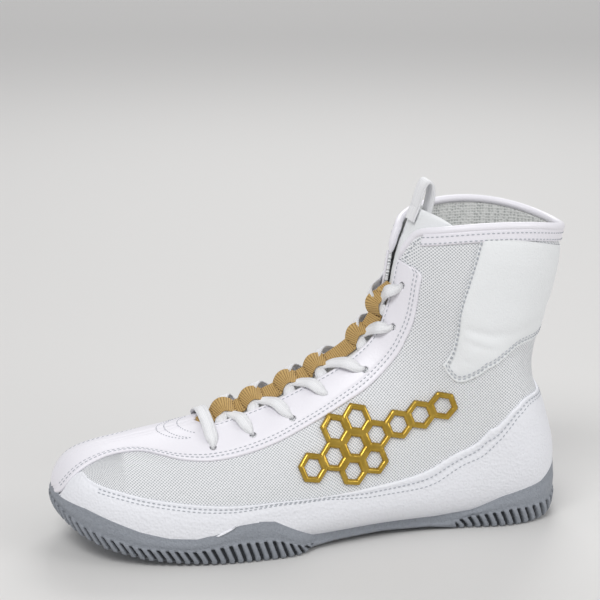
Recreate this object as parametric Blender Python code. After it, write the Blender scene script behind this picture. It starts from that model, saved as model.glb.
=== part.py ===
# Wrestling shoe for the left foot: toe towards -X, outer side towards -Y, standing on its sole.
import math

import bmesh
import bpy
import numpy as np

# Driving sizes, metres.
shoe_length = 0.286
ball_width = 0.098
instep_height = 0.099
collar_height = 0.160
collar_width = 0.074
toe_spring = 0.022
wall_thickness = 0.0016
fit_gap = 0.0004
overlay_thickness = 0.0011
throat_width = 0.022
eyelet_diameter = 0.004
sole_thickness = 0.005
heel_thickness = 0.008
sole_ledge = 0.0013
rib_depth = 0.0009
rib_pitch = 0.0064
insole_thickness = 0.0026
tongue_thickness = 0.0032
tongue_rise = 0.0140
binding_radius = 0.0022
lace_width = 0.0058
lace_thickness = 0.0011
webbing_width = 0.0085
webbing_thickness = 0.0009
webbing_hump = 0.0063
hump_half = 0.0095
loop_width = 0.0135
loop_height = 0.021
loop_thickness = 0.0017
hexagon_radius = 0.0076
hexagon_bar = 0.0034

# Front sections. x: shares of shoe length; z: shares of instep height above the toe spring curve;
# y and half widths: shares of ball width; then widest share, low and top roundness, side lift.
# under_x, under_z, under_y, top_x, top_z, top_y, half_outer, half_inner, widest, low, top, lift
front_sections = [
    (0.0105, 0.1065, 0.0816, 0.0105, 0.1065, 0.0816, 0.0000, 0.0000, 0.45, 2.20, 2.20, 0.0),
    (0.0192, 0.0311, 0.0816, 0.0192, 0.2129, 0.0816, 0.1531, 0.1429, 0.45, 2.40, 2.20, 0.0),
    (0.0455, 0.0238, 0.0714, 0.0455, 0.3471, 0.0765, 0.2755, 0.2551, 0.42, 2.60, 2.20, 0.0),
    (0.0909, 0.0137, 0.0510, 0.0909, 0.4531, 0.0663, 0.3724, 0.3367, 0.40, 2.80, 2.15, 0.0),
    (0.1573, 0.0099, 0.0306, 0.1573, 0.5352, 0.0561, 0.4388, 0.4031, 0.36, 3.00, 2.10, 0.0),
    (0.2378, 0.0113, 0.0102, 0.2378, 0.6022, 0.0459, 0.4745, 0.4490, 0.33, 3.00, 2.05, 0.0),
    (0.3252, 0.0152, 0.0000, 0.3252, 0.6717, 0.0357, 0.4898, 0.4643, 0.30, 3.00, 2.00, 0.0),
    (0.4231, 0.0253, 0.0000, 0.4126, 0.7576, 0.0255, 0.4745, 0.4286, 0.28, 2.90, 1.92, 0.0),
    (0.5280, 0.0404, 0.0000, 0.4860, 0.8535, 0.0204, 0.4337, 0.3776, 0.27, 2.80, 1.90, 0.0),
    (0.6399, 0.0505, 0.0000, 0.5420, 0.9394, 0.0153, 0.3929, 0.3469, 0.28, 2.85, 1.90, 0.0),
]
# Rear sections, the same columns as shares of shoe length, collar height and collar width.
rear_sections = [
    (0.7483, 0.0281, 0.0, 0.5839, 0.6312, 0.0135, 0.4932, 0.4595, 0.30, 2.95, 1.92, 0.0),
    (0.8497, 0.0250, 0.0, 0.6136, 0.6781, 0.0068, 0.4797, 0.4662, 0.35, 2.95, 1.95, 0.0),
    (0.9301, 0.0375, 0.0, 0.6311, 0.7219, 0.0, 0.4797, 0.4730, 0.39, 2.90, 2.00, 0.0),
    (0.9773, 0.1000, 0.0, 0.6416, 0.7656, 0.0, 0.4865, 0.4797, 0.44, 2.70, 2.00, 0.0),
    (0.9878, 0.2250, 0.0, 0.6503, 0.8125, 0.0, 0.4865, 0.4865, 0.48, 2.40, 2.00, 0.0063),
    (0.9700, 0.3750, 0.0, 0.6566, 0.8625, 0.0, 0.4865, 0.4865, 0.50, 2.15, 2.00, 0.0125),
    (0.9460, 0.5250, 0.0, 0.6608, 0.9094, 0.0, 0.4865, 0.4865, 0.50, 2.10, 2.00, 0.0230),
    (0.9600, 0.6900, 0.0, 0.6648, 0.9560, 0.0, 0.4932, 0.4932, 0.50, 2.10, 2.00, 0.0360),
    (0.9830, 0.8600, 0.0, 0.6708, 1.0000, 0.0, 0.5000, 0.5000, 0.50, 2.10, 2.05, 0.0440),
    (1.0000, 1.0300, 0.0, 0.6808, 1.0400, 0.0, 0.5000, 0.5000, 0.50, 2.10, 2.10, 0.0470),
]
# Underside of the last and of the sole at the toe: share of length, share of toe spring.
spring_curve = [
    (0.0, 1.0), (0.0105, 0.93), (0.0192, 0.86), (0.0455, 0.62), (0.0909, 0.37),
    (0.1573, 0.16), (0.2378, 0.04), (0.3252, 0.0), (1.0, 0.0),
]
# Ground side of the sole away from the toe: share of length, millimetres up, outer and inner side.
arch_curve = [
    (0.0, 0.0, 0.0), (0.455, 0.0, 0.0), (0.475, 1.6, 2.0), (0.52, 2.4, 4.0), (0.62, 2.6, 5.0),
    (0.72, 2.0, 4.0), (0.765, 0.6, 1.0), (0.78, 0.0, 0.0), (0.915, 0.0, 0.0), (0.955, 1.2, 1.2),
    (0.985, 3.6, 3.6), (1.0, 6.0, 6.0),
]
# Foot bed above the ground side: share of length, share of the way from sole to heel thickness.
bed_curve = [(0.0, 0.0), (0.45, 0.0), (0.60, 0.45), (0.75, 0.8), (0.85, 1.0), (1.0, 1.0)]
# Top edge of the sole: share of length, height in millimetres on the outer and the inner side.
rim_curve = [
    (0.0, 33.0, 33.0), (0.03, 32.0, 32.0), (0.06, 30.5, 30.5), (0.10, 26.0, 26.0), (0.15, 20.5, 21.0),
    (0.20, 17.0, 18.0), (0.25, 16.2, 17.5), (0.28, 18.5, 19.0), (0.31, 23.0, 21.5), (0.36, 24.0, 22.0),
    (0.395, 23.0, 21.5), (0.43, 17.0, 18.0), (0.475, 10.0, 12.5), (0.52, 9.4, 11.0), (0.62, 9.2, 11.0),
    (0.72, 9.6, 11.0), (0.80, 12.0, 13.0), (0.86, 19.0, 19.0), (0.90, 21.5, 21.5), (0.94, 24.0, 24.0),
    (0.975, 31.0, 31.0), (1.0, 36.0, 36.0),
]
# Height of the ribbed band: share of length, millimetres.
rib_curve = [
    (0.0, 7.0), (0.15, 6.0), (0.25, 6.5), (0.33, 10.5), (0.40, 10.5), (0.44, 6.0), (0.475, 3.0),
    (0.74, 3.0), (0.80, 7.0), (0.88, 9.5), (1.0, 9.0),
]
# Outlines on the outer surface, as section number and angle round the section (0 under, 180 top).
strip_outer = [
    (0.95, 98), (1.59, 128), (2.37, 147), (3.09, 157), (3.62, 160), (4.12, 158), (4.57, 150),
    (4.94, 143), (5.39, 138), (5.76, 136), (6.29, 135), (6.89, 135.5), (7.54, 137), (8.04, 138),
    (8.99, 140), (9.56, 141), (10.83, 144), (12.43, 145), (14.08, 142), (15.78, 139), (16.5, 138.5),
    (16.72, 143),
]
strip_inner_sections = [
    0.25, 0.7, 1.4, 2.2, 2.9, 3.5, 4.1, 4.6, 5.1, 5.46, 6.1, 6.8, 7.5, 8.1, 9.0, 9.6, 10.9, 12.45,
    14.1, 15.75, 16.55, 16.85,
]
rand_top = [
    (1.42, 108), (1.80, 125), (2.36, 138), (2.84, 123), (3.44, 118), (4.09, 113), (4.69, 110),
    (5.26, 107), (5.99, 104), (6.86, 101.5), (7.64, 98), (8.41, 95.5), (9.19, 94), (9.68, 94),
    (10.2, 94.2), (10.78, 95), (11.45, 94.5), (12.3, 92.5), (12.98, 89), (13.48, 84.5), (14.12, 75),
    (14.78, 59.5), (15.3, 36), (15.72, 0),
]
rand_foot_sections = [
    1.30, 1.55, 1.95, 2.55, 3.25, 3.95, 4.6, 5.2, 5.95, 6.85, 7.65, 8.4, 9.15, 9.65, 10.4, 11.3,
    12.2, 13.0, 13.6,
]
ankle_low = [
    (13.25, 121), (13.1, 116.5), (13.2, 111), (13.95, 100), (14.75, 88), (15.66, 70), (16.3, 51), (16.8, 16),
]
ankle_high = [
    (18.3, 103), (18.35, 99.5), (18.35, 96), (18.35, 88), (18.35, 76), (18.35, 60), (18.35, 44), (18.35, 16),
]
# Half opening of the throat: section number, share of half the throat width on the outer and inner side.
throat_opening = [
    (5.50, 0.0, 0.0), (5.62, 0.62, 0.62), (5.9, 0.95, 0.95), (7.0, 0.95, 0.95), (9.0, 0.85, 0.85),
    (11.0, 0.72, 0.72), (13.0, 0.66, 0.66), (15.0, 0.66, 0.62), (16.5, 0.74, 0.60), (17.6, 1.05, 0.64),
    (18.4, 1.35, 0.70), (19.0, 1.6, 0.80),
]
eyelets = [(5.69, 146), (6.54, 146), (7.46, 146), (8.51, 149), (9.98, 151), (12.70, 156), (15.40, 155)]
# Extra height of each lace over the eyelet row, in millimetres.
lace_lift = [0.0, 0.0, 0.1, 0.3, 0.9, 0.1]
# Length of each raised loop as a share of the usual length.
hump_spread = [1.0, 1.0, 1.0, 1.0, 1.1, 1.2]
humps = [6.15, 6.78, 7.66, 8.60, 10.65, 13.2]
cage_cells = [
    (1, 0), (1, 1), (1, 2), (1, 3), (1, 4), (1, 5), (1, 6),
    (0, 1), (0, 2), (2, 1), (2, 2),
]

for old in list(bpy.data.objects):
    bpy.data.objects.remove(old, do_unlink=True)

materials = {}


def material(name, colour, rough):
    if name not in materials:
        made = bpy.data.materials.new(name)
        made.use_nodes = True
        shader = made.node_tree.nodes["Principled BSDF"]
        shader.inputs["Base Color"].default_value = (*colour, 1.0)
        shader.inputs["Roughness"].default_value = rough
        materials[name] = made
    return materials[name]


white_leather = material("white_leather", (0.80, 0.80, 0.82), 0.45)
rand_leather = material("rand_leather", (0.75, 0.76, 0.79), 0.6)
panel_leather = material("panel_leather", (0.74, 0.76, 0.77), 0.7)
mesh_fabric = material("mesh_fabric", (0.78, 0.79, 0.80), 0.85)
lining_fabric = material("lining_fabric", (0.72, 0.73, 0.72), 0.9)
gold_band = material("gold_band", (0.50, 0.32, 0.09), 0.75)
gold_film = material("gold_film", (0.48, 0.34, 0.07), 0.3)
grey_rubber = material("grey_rubber", (0.27, 0.28, 0.31), 0.7)
lace_white = material("lace_white", (0.82, 0.82, 0.84), 0.85)


def blend(table, at, column=1):
    values = np.array(table, float)
    return np.interp(at, values[:, 0], values[:, column])


def spring(x_from_toe):
    return toe_spring * blend(spring_curve, x_from_toe / shoe_length)


def build_sections():
    rows = []
    for group, height, width in (
        (front_sections, instep_height, ball_width),
        (rear_sections, collar_height, collar_width),
    ):
        for row in group:
            under_x = row[0] * shoe_length
            top_x = row[3] * shoe_length
            rows.append((
                under_x,
                row[1] * height + spring(under_x),
                row[2] * width,
                top_x,
                row[4] * height + spring(top_x),
                row[5] * width,
                row[6] * width,
                row[7] * width,
                row[8],
                row[9],
                row[10],
                row[11] * height,
            ))
    table = np.array(rows)
    mirrored = table[1].copy()
    mirrored[0:3] = table[1][3:6]
    mirrored[3:6] = table[1][0:3]
    mirrored[6:8] = -table[1][6:8]
    beyond = 2.0 * table[-1] - table[-2]
    return np.vstack([mirrored, table, beyond])


section_table = build_sections()
last_section = len(section_table) - 3.0


def section_at(a):
    a = np.clip(np.asarray(a, float), 0.0, last_section)
    i = np.minimum(a.astype(int), int(last_section) - 1)
    f = (a - i)[..., None]
    p0 = section_table[i]
    p1 = section_table[i + 1]
    p2 = section_table[i + 2]
    p3 = section_table[i + 3]
    square = (2.0 * p0 - 5.0 * p1 + 4.0 * p2 - p3) * f ** 2
    cube = (3.0 * p1 - p0 - 3.0 * p2 + p3) * f ** 3
    return 0.5 * (2.0 * p1 + (p2 - p0) * f + square + cube)


def surface(a, angle):
    """Point of the upper: section number and angle, outer side positive, inner side negative."""
    a, angle = np.broadcast_arrays(np.asarray(a, float), np.asarray(angle, float))
    turned = (angle + 180.0) % 360.0 - 180.0
    turned = np.where((turned == -180.0) & (angle > 0), 180.0, turned)
    row = section_at(a)
    size = np.abs(turned)
    low = size <= 90.0
    power = np.where(low, 2.0 / row[..., 9], 2.0 / row[..., 10])
    across = np.abs(np.sin(np.radians(size))) ** power
    along = np.abs(np.cos(np.radians(size))) ** power
    widest = row[..., 8]
    share = np.where(low, widest * (1.0 - along), widest + (1.0 - widest) * along)
    half = np.where(turned >= 0, -row[..., 6], row[..., 7])
    x = row[..., 0] + (row[..., 3] - row[..., 0]) * share
    y = row[..., 2] + (row[..., 5] - row[..., 2]) * share + half * across
    z = row[..., 1] + (row[..., 4] - row[..., 1]) * share + row[..., 11] * across ** 2
    return np.stack([x - shoe_length / 2.0, y, z], axis=-1)


def normal(a, angle):
    a, angle = np.broadcast_arrays(np.asarray(a, float), np.asarray(angle, float))
    low_a = np.maximum(a - 0.04, 0.0)
    high_a = np.minimum(a + 0.04, last_section)
    along = surface(high_a, angle) - surface(low_a, angle)
    round_it = surface(a, angle + 1.5) - surface(a, angle - 1.5)
    out = np.cross(along, round_it)
    middle = 0.5 * (surface(a, np.zeros_like(a)) + surface(a, np.full_like(a, 180.0)))
    sign = np.sign(np.sum((surface(a, angle) - middle) * out, axis=-1))[..., None]
    out = out * np.where(sign == 0, 1.0, sign)
    length = np.linalg.norm(out, axis=-1)[..., None]
    tip = np.broadcast_to(np.array([-1.0, 0.0, 0.0]), out.shape)
    return np.where(a[..., None] < 0.02, tip, out / np.maximum(length, 1e-12))


def raised(a, angle, height):
    height = np.asarray(height, float)
    return surface(a, angle) + normal(a, angle) * height[..., None]


def bed_height(x_from_toe):
    share = x_from_toe / shoe_length
    thick = sole_thickness + (heel_thickness - sole_thickness) * blend(bed_curve, share)
    return spring(x_from_toe) + thick


def ground_height(x_from_toe, side):
    share = x_from_toe / shoe_length
    return spring(x_from_toe) + 0.001 * blend(arch_curve, share, 1 if side > 0 else 2)


def rim_height(x_from_toe, side):
    share = x_from_toe / shoe_length
    return 0.001 * blend(rim_curve, share, 1 if side > 0 else 2)


def angle_where(a, side, test):
    """Angle on each section where test(point) turns from negative to positive, 0 when it never does."""
    a = np.asarray(a, float)
    low = np.zeros_like(a)
    high = np.full_like(a, 180.0)
    start = test(surface(a, np.zeros_like(a)))
    for _ in range(40):
        middle = 0.5 * (low + high)
        above = test(surface(a, side * middle)) > 0
        high = np.where(above, middle, high)
        low = np.where(above, low, middle)
    return np.where(start > 0, 0.0, high)


def bed_angle(a, side, clear):
    def test(point):
        return point[..., 2] - bed_height(point[..., 0] + shoe_length / 2.0) - clear
    return angle_where(a, side, test)


def rim_angle(a, side, clear):
    def test(point):
        return point[..., 2] - rim_height(point[..., 0] + shoe_length / 2.0, side) - clear
    return angle_where(a, side, test)


def throat_angle(a, side):
    """Angle of the throat edge on each section; 180 where the throat is closed."""
    a = np.asarray(a, float)
    width = 0.5 * throat_width * blend(throat_opening, a, 1 if side > 0 else 2)
    low = np.full_like(a, 100.0)
    high = np.full_like(a, 180.0)
    top = surface(a, np.full_like(a, 180.0))
    for _ in range(40):
        middle = 0.5 * (low + high)
        wide = np.abs(surface(a, side * middle)[..., 1] - top[..., 1]) > width
        low = np.where(wide, middle, low)
        high = np.where(wide, high, middle)
    return np.where(a <= throat_opening[0][0], 180.0, 0.5 * (low + high))


def smooth(points, count):
    """Catmull-Rom line through the points, at evenly spaced places."""
    points = np.array(points, float)
    padded = np.vstack([2 * points[0] - points[1], points, 2 * points[-1] - points[-2]])
    at = np.linspace(0.0, len(points) - 1.0, count)
    i = np.minimum(at.astype(int), len(points) - 2)
    f = (at - i)[:, None]
    p0, p1, p2, p3 = padded[i], padded[i + 1], padded[i + 2], padded[i + 3]
    square = (2 * p0 - 5 * p1 + 4 * p2 - p3) * f ** 2
    cube = (3 * p1 - p0 - 3 * p2 + p3) * f ** 3
    return 0.5 * (2 * p1 + (p2 - p0) * f + square + cube)


def make_object(name, points, faces, skin, keep=None):
    grid = bmesh.new()
    verts = [grid.verts.new(point) for point in points]
    for face in faces:
        corners = []
        for index in face:
            if verts[index] not in corners:
                corners.append(verts[index])
        if len(corners) > 2:
            grid.faces.new(corners)
    bmesh.ops.remove_doubles(grid, verts=grid.verts, dist=0.000002)
    loose = [vert for vert in grid.verts if not vert.link_faces]
    bmesh.ops.delete(grid, geom=loose, context="VERTS")
    bmesh.ops.triangulate(grid, faces=grid.faces)
    bmesh.ops.recalc_face_normals(grid, faces=grid.faces)
    if grid.calc_volume(signed=True) < 0:
        bmesh.ops.reverse_faces(grid, faces=grid.faces)
    mesh = bpy.data.meshes.new(name)
    grid.to_mesh(mesh)
    grid.free()
    made = bpy.data.objects.new(name, mesh)
    bpy.context.scene.collection.objects.link(made)
    mesh.materials.append(skin)
    return made


def shell(name, outer, inner, faces, skin):
    """Closed wall between an outer and an inner copy of one net of faces."""
    keys = {}
    rename = []
    kept_outer = []
    kept_inner = []
    for place, point in enumerate(outer):
        key = tuple(np.round(point * 200000.0).astype(int))
        if key not in keys:
            keys[key] = len(kept_outer)
            kept_outer.append(outer[place])
            kept_inner.append(inner[place])
        rename.append(keys[key])
    count = len(kept_outer)
    net = []
    edges = {}
    for face in faces:
        corners = []
        for index in face:
            if rename[index] not in corners:
                corners.append(rename[index])
        if len(corners) < 3:
            continue
        net.append(corners)
        for here, there in zip(corners, corners[1:] + corners[:1]):
            edges[(here, there)] = True
    solid = [list(corners) for corners in net]
    solid += [[index + count for index in reversed(corners)] for corners in net]
    for here, there in edges:
        if (there, here) not in edges:
            solid.append([there, here, here + count, there + count])
    return make_object(name, kept_outer + kept_inner, solid, skin)


def net_faces(rows, columns, start=0, flip=False):
    faces = []
    for i in range(rows - 1):
        for j in range(columns - 1):
            a = start + i * columns + j
            face = [a, a + 1, a + columns + 1, a + columns]
            faces.append(face[::-1] if flip else face)
    return faces


def patch_net(low, high, across, side, keep_off_rim=True):
    """Section numbers and angles of a patch between two outlines."""
    share = np.linspace(0.0, 1.0, across)[None, :]
    a = low[:, 0:1] * (1 - share) + high[:, 0:1] * share
    angle = low[:, 1:2] * (1 - share) + high[:, 1:2] * share
    if keep_off_rim:
        angle = np.maximum(angle, rim_angle(a, side, 0.0018))
    return a, np.clip(angle, 0.0, 180.0)


def patch(name, parts, skin, gap=None, thick=None):
    """parts: (low outline, high outline, steps across, side) of one joined overlay."""
    gap = fit_gap if gap is None else gap
    thick = overlay_thickness if thick is None else thick
    outer = []
    inner = []
    faces = []
    for low, high, across, side in parts:
        a, angle = patch_net(low, high, across, side)
        start = len(outer)
        outer += list(raised(a, side * angle, np.full(a.shape, gap + thick)).reshape(-1, 3))
        inner += list(raised(a, side * angle, np.full(a.shape, gap)).reshape(-1, 3))
        faces += net_faces(a.shape[0], a.shape[1], start, side < 0)
    return shell(name, outer, inner, faces, skin)


# Upper: one hollow shell, open under the foot, at the throat and at the collar.
def crossing_section(clear):
    low, high = 11.6, 16.0
    for _ in range(50):
        middle = 0.5 * (low + high)
        point = surface(np.array(middle), np.array(0.0))
        if point[2] > bed_height(point[0] + shoe_length / 2.0) + clear:
            high = middle
        else:
            low = middle
    return high


heel_start = crossing_section(fit_gap)
collar_end = last_section - 0.2
upper_sections = [0.0, 0.3, 0.6, 1.0, 1.5, 2.0, 2.6, 3.2, 3.8, 4.4, 5.0, 5.50, 5.62, 5.9]
upper_sections += [6.5, 7.2, 7.9, 8.6, 9.3, 10.0, 10.7, 11.4]
upper_sections += [heel_start - 0.35, heel_start - 0.1, heel_start, heel_start + 0.35]
upper_sections += list(np.linspace(heel_start + 0.8, collar_end, 14))
upper_sections = sorted(set(round(float(a), 5) for a in upper_sections))
upper_a = np.array(upper_sections)


def trimmed(a, angle):
    """Sections near the collar, pulled down so that the wall ends under the rolled binding."""
    clear = binding_radius + 1.2 * fit_gap
    edge = surface(np.full_like(a, last_section), angle)
    rate = np.linalg.norm(edge - surface(np.full_like(a, last_section - 0.4), angle), axis=-1) / 0.4
    cut = last_section - clear / rate
    share = np.clip((a - 17.0) / (collar_end - 17.0), 0.0, 1.0)
    return np.where(a > 17.0, 17.0 + share * (cut - 17.0), a)


def upper_net(steps):
    outer = []
    inner = []
    faces = []
    for side in (1, -1):
        feather = bed_angle(upper_a, side, fit_gap)
        edge = throat_angle(upper_a, side)
        share = np.linspace(0.0, 1.0, steps)[None, :]
        angle = feather[:, None] * (1 - share) + edge[:, None] * share
        a = trimmed(np.repeat(upper_a[:, None], steps, axis=1), side * angle)
        start = len(outer)
        outer += list(surface(a, side * angle).reshape(-1, 3))
        inner += list(raised(a, side * angle, np.full(a.shape, -wall_thickness)).reshape(-1, 3))
        faces += net_faces(len(upper_a), steps, start, side < 0)
    return outer, inner, faces


outer, inner, faces = upper_net(9)
upper = shell("upper", outer, inner, faces, mesh_fabric)


# Sole: columns run round the edge, the same shares on both sides.
def bed_level(clear):
    def level(x_from_toe, side):
        return bed_height(x_from_toe) + clear
    return level


def wall_level(part_way):
    def level(x_from_toe, side):
        floor = bed_height(x_from_toe)
        return floor + (rim_height(x_from_toe, side) - floor) * part_way
    return level


def over_level(point, level, side):
    return point[..., 2] - level(point[..., 0] + shoe_length / 2.0, side)


known_ends = {}


def level_ends(level, side):
    """First and last section that a level round the shoe reaches."""
    if (level, side) in known_ends:
        return known_ends[(level, side)]
    pole = surface(np.array(0.0), np.array(0.0))
    buried = over_level(pole, level, side) < 0
    ends = []
    for low, high, angle, rising in (
        (0.0, 2.2, 180.0 if buried else 0.0, buried),
        (11.6, 17.0, 0.0, True),
    ):
        for _ in range(50):
            middle = 0.5 * (low + high)
            over = over_level(surface(np.array(middle), np.array(angle)), level, side) > 0
            if over == rising:
                high = middle
            else:
                low = middle
        ends.append(0.5 * (low + high))
    known_ends[(level, side)] = (ends[0], ends[1], buried)
    return known_ends[(level, side)]


rim_level = wall_level(1.0)


def ring_point(level, share, side):
    """Section number and angle of the upper on a level, a share of the way from toe to heel."""
    first, final, buried = level_ends(level, side)
    rim_first, rim_final, _ = level_ends(rim_level, side)
    a = rim_first + (rim_final - rim_first) * share
    if a < 2.0:
        a = first + (a - rim_first) * (2.0 - first) / (2.0 - rim_first)
    elif a > 10.0:
        a = 10.0 + (a - 10.0) * (final - 10.0) / (rim_final - 10.0)
    angle = angle_where(np.array([a]), side, lambda point: over_level(point, level, side))[0]
    if share <= 0.0:
        angle = 180.0 if buried else 0.0
    if share >= 1.0:
        angle = 0.0
    return a, angle


def column_place(share, side):
    a, angle = ring_point(rim_level, share, side)
    return float(surface(np.array(a), np.array(side * angle))[0]) + shoe_length / 2.0


shares = np.linspace(0.0, 1.0, 161)
rough = []
for share in shares:
    here = np.zeros(3)
    for side in (1, -1):
        a, angle = ring_point(rim_level, share, side)
        point = surface(np.array(a), np.array(side * angle))
        here += 0.5 * np.array([point[0], point[1] * side, 0.0])
    rough.append(here)
lengths = np.concatenate([[0.0], np.cumsum(np.linalg.norm(np.diff(np.array(rough), axis=0), axis=1))])
place_x = np.array([point[0] for point in rough]) + shoe_length / 2.0
forefoot_run = float(np.interp(0.475 * shoe_length, place_x, lengths))
heel_run = float(np.interp(0.765 * shoe_length, place_x, lengths))
front_ribs = max(4, int(round(forefoot_run / rib_pitch)))
rear_ribs = max(3, int(round((lengths[-1] - heel_run) / rib_pitch)))
runs = list(np.linspace(0.0, forefoot_run, 2 * front_ribs + 1))
runs += list(np.linspace(forefoot_run, heel_run, 9))[1:]
runs += list(np.linspace(heel_run, lengths[-1], 2 * rear_ribs + 1))[1:]
column_shares = np.interp(runs, lengths, shares)
column_shares[0] = 0.0
column_shares[-1] = 1.0
ribbed = [k <= 2 * front_ribs or k >= 2 * front_ribs + 8 for k in range(len(runs))]


inside_levels = [wall_level(part_way) for part_way in (0.0, 0.12, 0.45)] + [rim_level]


def sole_column(share, side, index):
    x = column_place(share, side)
    rim = float(rim_height(x, side))
    ground = float(ground_height(x, side))
    rib = min(0.001 * float(blend(rib_curve, x / shoe_length)), 0.62 * (rim - ground))
    points = []
    for level in inside_levels:
        a, angle = ring_point(level, share, side)
        points.append(raised(np.array(a), np.array(side * angle), np.array(1.6 * fit_gap)))
    a, angle = ring_point(rim_level, share, side)
    base = surface(np.array(a), np.array(side * angle))
    out = normal(np.array(a), np.array(side * angle)).copy()
    out[2] = 0.0
    if share <= 0.0:
        out = np.array([-1.0, 0.0, 0.0])
    if share >= 1.0:
        out = np.array([1.0, 0.0, 0.0])
    out = out / np.linalg.norm(out)
    arch = float(np.interp(x / shoe_length, [0.44, 0.50, 0.72, 0.80], [0.0, 1.0, 1.0, 0.0]))
    deep = rib_depth if ribbed[index] and index % 2 else 0.0
    levels = [
        (rim, sole_ledge),
        (ground + rib + 0.45 * (rim - ground - rib), sole_ledge + 0.0009 * (1 - arch)),
        (ground + rib + 0.0004, sole_ledge + 0.0004 * (1 - arch)),
        (ground + rib, sole_ledge + 0.0010 * (1 - arch) - deep),
        (ground + min(0.0018, 0.4 * rib), sole_ledge + 0.0002 - 0.0004 * arch - deep),
        (ground, sole_ledge - 0.0022 - 0.0012 * (1 - arch)),
    ]
    profile = list(points)
    for height, push in levels:
        point = base + out * push
        point[2] = height
        profile.append(point)
    return profile


columns = {}
for side in (1, -1):
    columns[side] = [sole_column(share, side, k) for k, share in enumerate(column_shares)]
sole_points = []
sole_faces = []
levels_count = len(columns[1][0])
total = len(column_shares)
for side in (1, -1):
    start = len(sole_points)
    for profile in columns[side]:
        sole_points += profile
    sole_faces += net_faces(total, levels_count, start, side < 0)
inner_start = total * levels_count
for level in (0, levels_count - 1):
    for k in range(total - 1):
        here = k * levels_count + level
        there = here + levels_count
        face = [here, there, inner_start + there, inner_start + here]
        sole_faces.append(face if level == 0 else face[::-1])
outsole = make_object("outsole", sole_points, sole_faces, grey_rubber)

# Insole: a slab on the foot bed, inside the wall of the upper.
bed_points = []
insole_shares = np.interp(np.linspace(0.0, lengths[-1], 38), lengths, shares)
slab = {}
feather_level = bed_level(fit_gap)
for side in (1, -1):
    slab[side] = []
    for share in insole_shares:
        share = min(max(share, 0.012), 0.994)
        a, angle = ring_point(feather_level, share, side)
        edge = raised(np.array(a), np.array(side * angle), np.array(-wall_thickness))
        out = normal(np.array(a), np.array(side * angle)).copy()
        out[2] = 0.0
        edge = edge - out / np.linalg.norm(out) * 3.0 * fit_gap
        floor = float(bed_height(edge[0] + shoe_length / 2.0))
        pair = []
        for lift in (2.0 * fit_gap, 2.0 * fit_gap + insole_thickness):
            pair.append(np.array([edge[0], edge[1], floor + lift]))
        slab[side].append(pair)
count = len(insole_shares)
for side in (1, -1):
    for pair in slab[side]:
        bed_points += pair
faces = []
half = 2 * count
for k in range(count - 1):
    low, high = 2 * k, 2 * k + 1
    faces.append([low, low + 2, half + low + 2, half + low])
    faces.append([half + high, half + high + 2, high + 2, high])
    faces.append([low, high, high + 2, low + 2])
    faces.append([half + low + 2, half + high + 2, half + high, half + low])
faces.append([0, half, half + 1, 1])
faces.append([2 * count - 1, half + 2 * count - 1, half + 2 * count - 2, 2 * count - 2])
insole = make_object("insole", bed_points, faces, lining_fabric)

# Toe strip and eyelet rows: one panel.
strip_parts = []
for side in (1, -1):
    outer_line = smooth(strip_outer, 26)
    inner_a = smooth([(a, 0.0) for a in strip_inner_sections], 26)[:, 0]
    inner_line = np.stack([inner_a, throat_angle(inner_a, side)], axis=1)
    inner_line[:, 1] = np.where(inner_line[:, 1] < 180.0, inner_line[:, 1] - 0.6, 180.0)
    strip_parts.append((outer_line, inner_line, 4, side))
eyestay = patch("eyestay", strip_parts, white_leather)

# Rand: strip round the foot above the sole.
rand_parts = []
rim_back = level_ends(rim_level, 1)[1] + 0.1
for side in (1, -1):
    top_line = smooth(rand_top, 32)
    top_line[-1] = rand_top[-1]
    foot_a = smooth([(a, 0.0) for a in rand_foot_sections + [rim_back]], 32)[:, 0]
    foot_line = np.stack([foot_a, rim_angle(foot_a, side, 0.0022)], axis=1)
    foot_line[-1, 1] = 0.0
    rand_parts.append((foot_line, top_line, 4, side))
rand = patch("rand", rand_parts, rand_leather, gap=2.7 * fit_gap)

# Ankle panels: one each side.
for side, name in ((1, "ankle_panel_outer"), (-1, "ankle_panel_inner")):
    part = (smooth(ankle_low, 11), smooth(ankle_high, 11), 8, side)
    patch(name, [part], panel_leather, gap=2.3 * fit_gap, thick=overlay_thickness + 0.0005)

# Collar binding: a rolled edge round the collar, from one front corner to the other.
corners = [side * (float(throat_angle(np.array([last_section]), side)[0]) - 2.0) for side in (1, -1)]
path_angles = np.linspace(corners[0], corners[1], 31)
ring_count = 6
bind_points = []
for angle in path_angles:
    at = last_section - 0.02
    centre = raised(np.array(at), np.array(angle), np.array(-0.5 * wall_thickness))
    out = normal(np.array(at), np.array(angle))
    up = surface(np.array(last_section), np.array(angle)) - surface(np.array(last_section - 0.3), np.array(angle))
    up = up - out * float(np.dot(up, out))
    up = up / np.linalg.norm(up)
    for k in range(ring_count):
        turn = 2.0 * math.pi * k / ring_count
        bind_points.append(centre + binding_radius * (out * math.cos(turn) + up * math.sin(turn)))
faces = []
for i in range(len(path_angles) - 1):
    for k in range(ring_count):
        a = i * ring_count + k
        b = i * ring_count + (k + 1) % ring_count
        faces.append([a, b, b + ring_count, a + ring_count])
faces.append(list(range(ring_count)))
faces.append([(len(path_angles) - 1) * ring_count + k for k in reversed(range(ring_count))])
make_object("collar_binding", bind_points, faces, panel_leather)

# Tongue: under the throat, rising over the collar at the front.
tongue_sections = [5.3, 5.7, 6.2, 7.0, 7.8, 8.6, 9.4, 10.2, 11.2, 12.4, 13.6, 14.8, 16.0, 17.0, 18.0, 19.0]
lean = np.array([0.40, 0.0, 1.0])
lean = lean / np.linalg.norm(lean)


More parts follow.
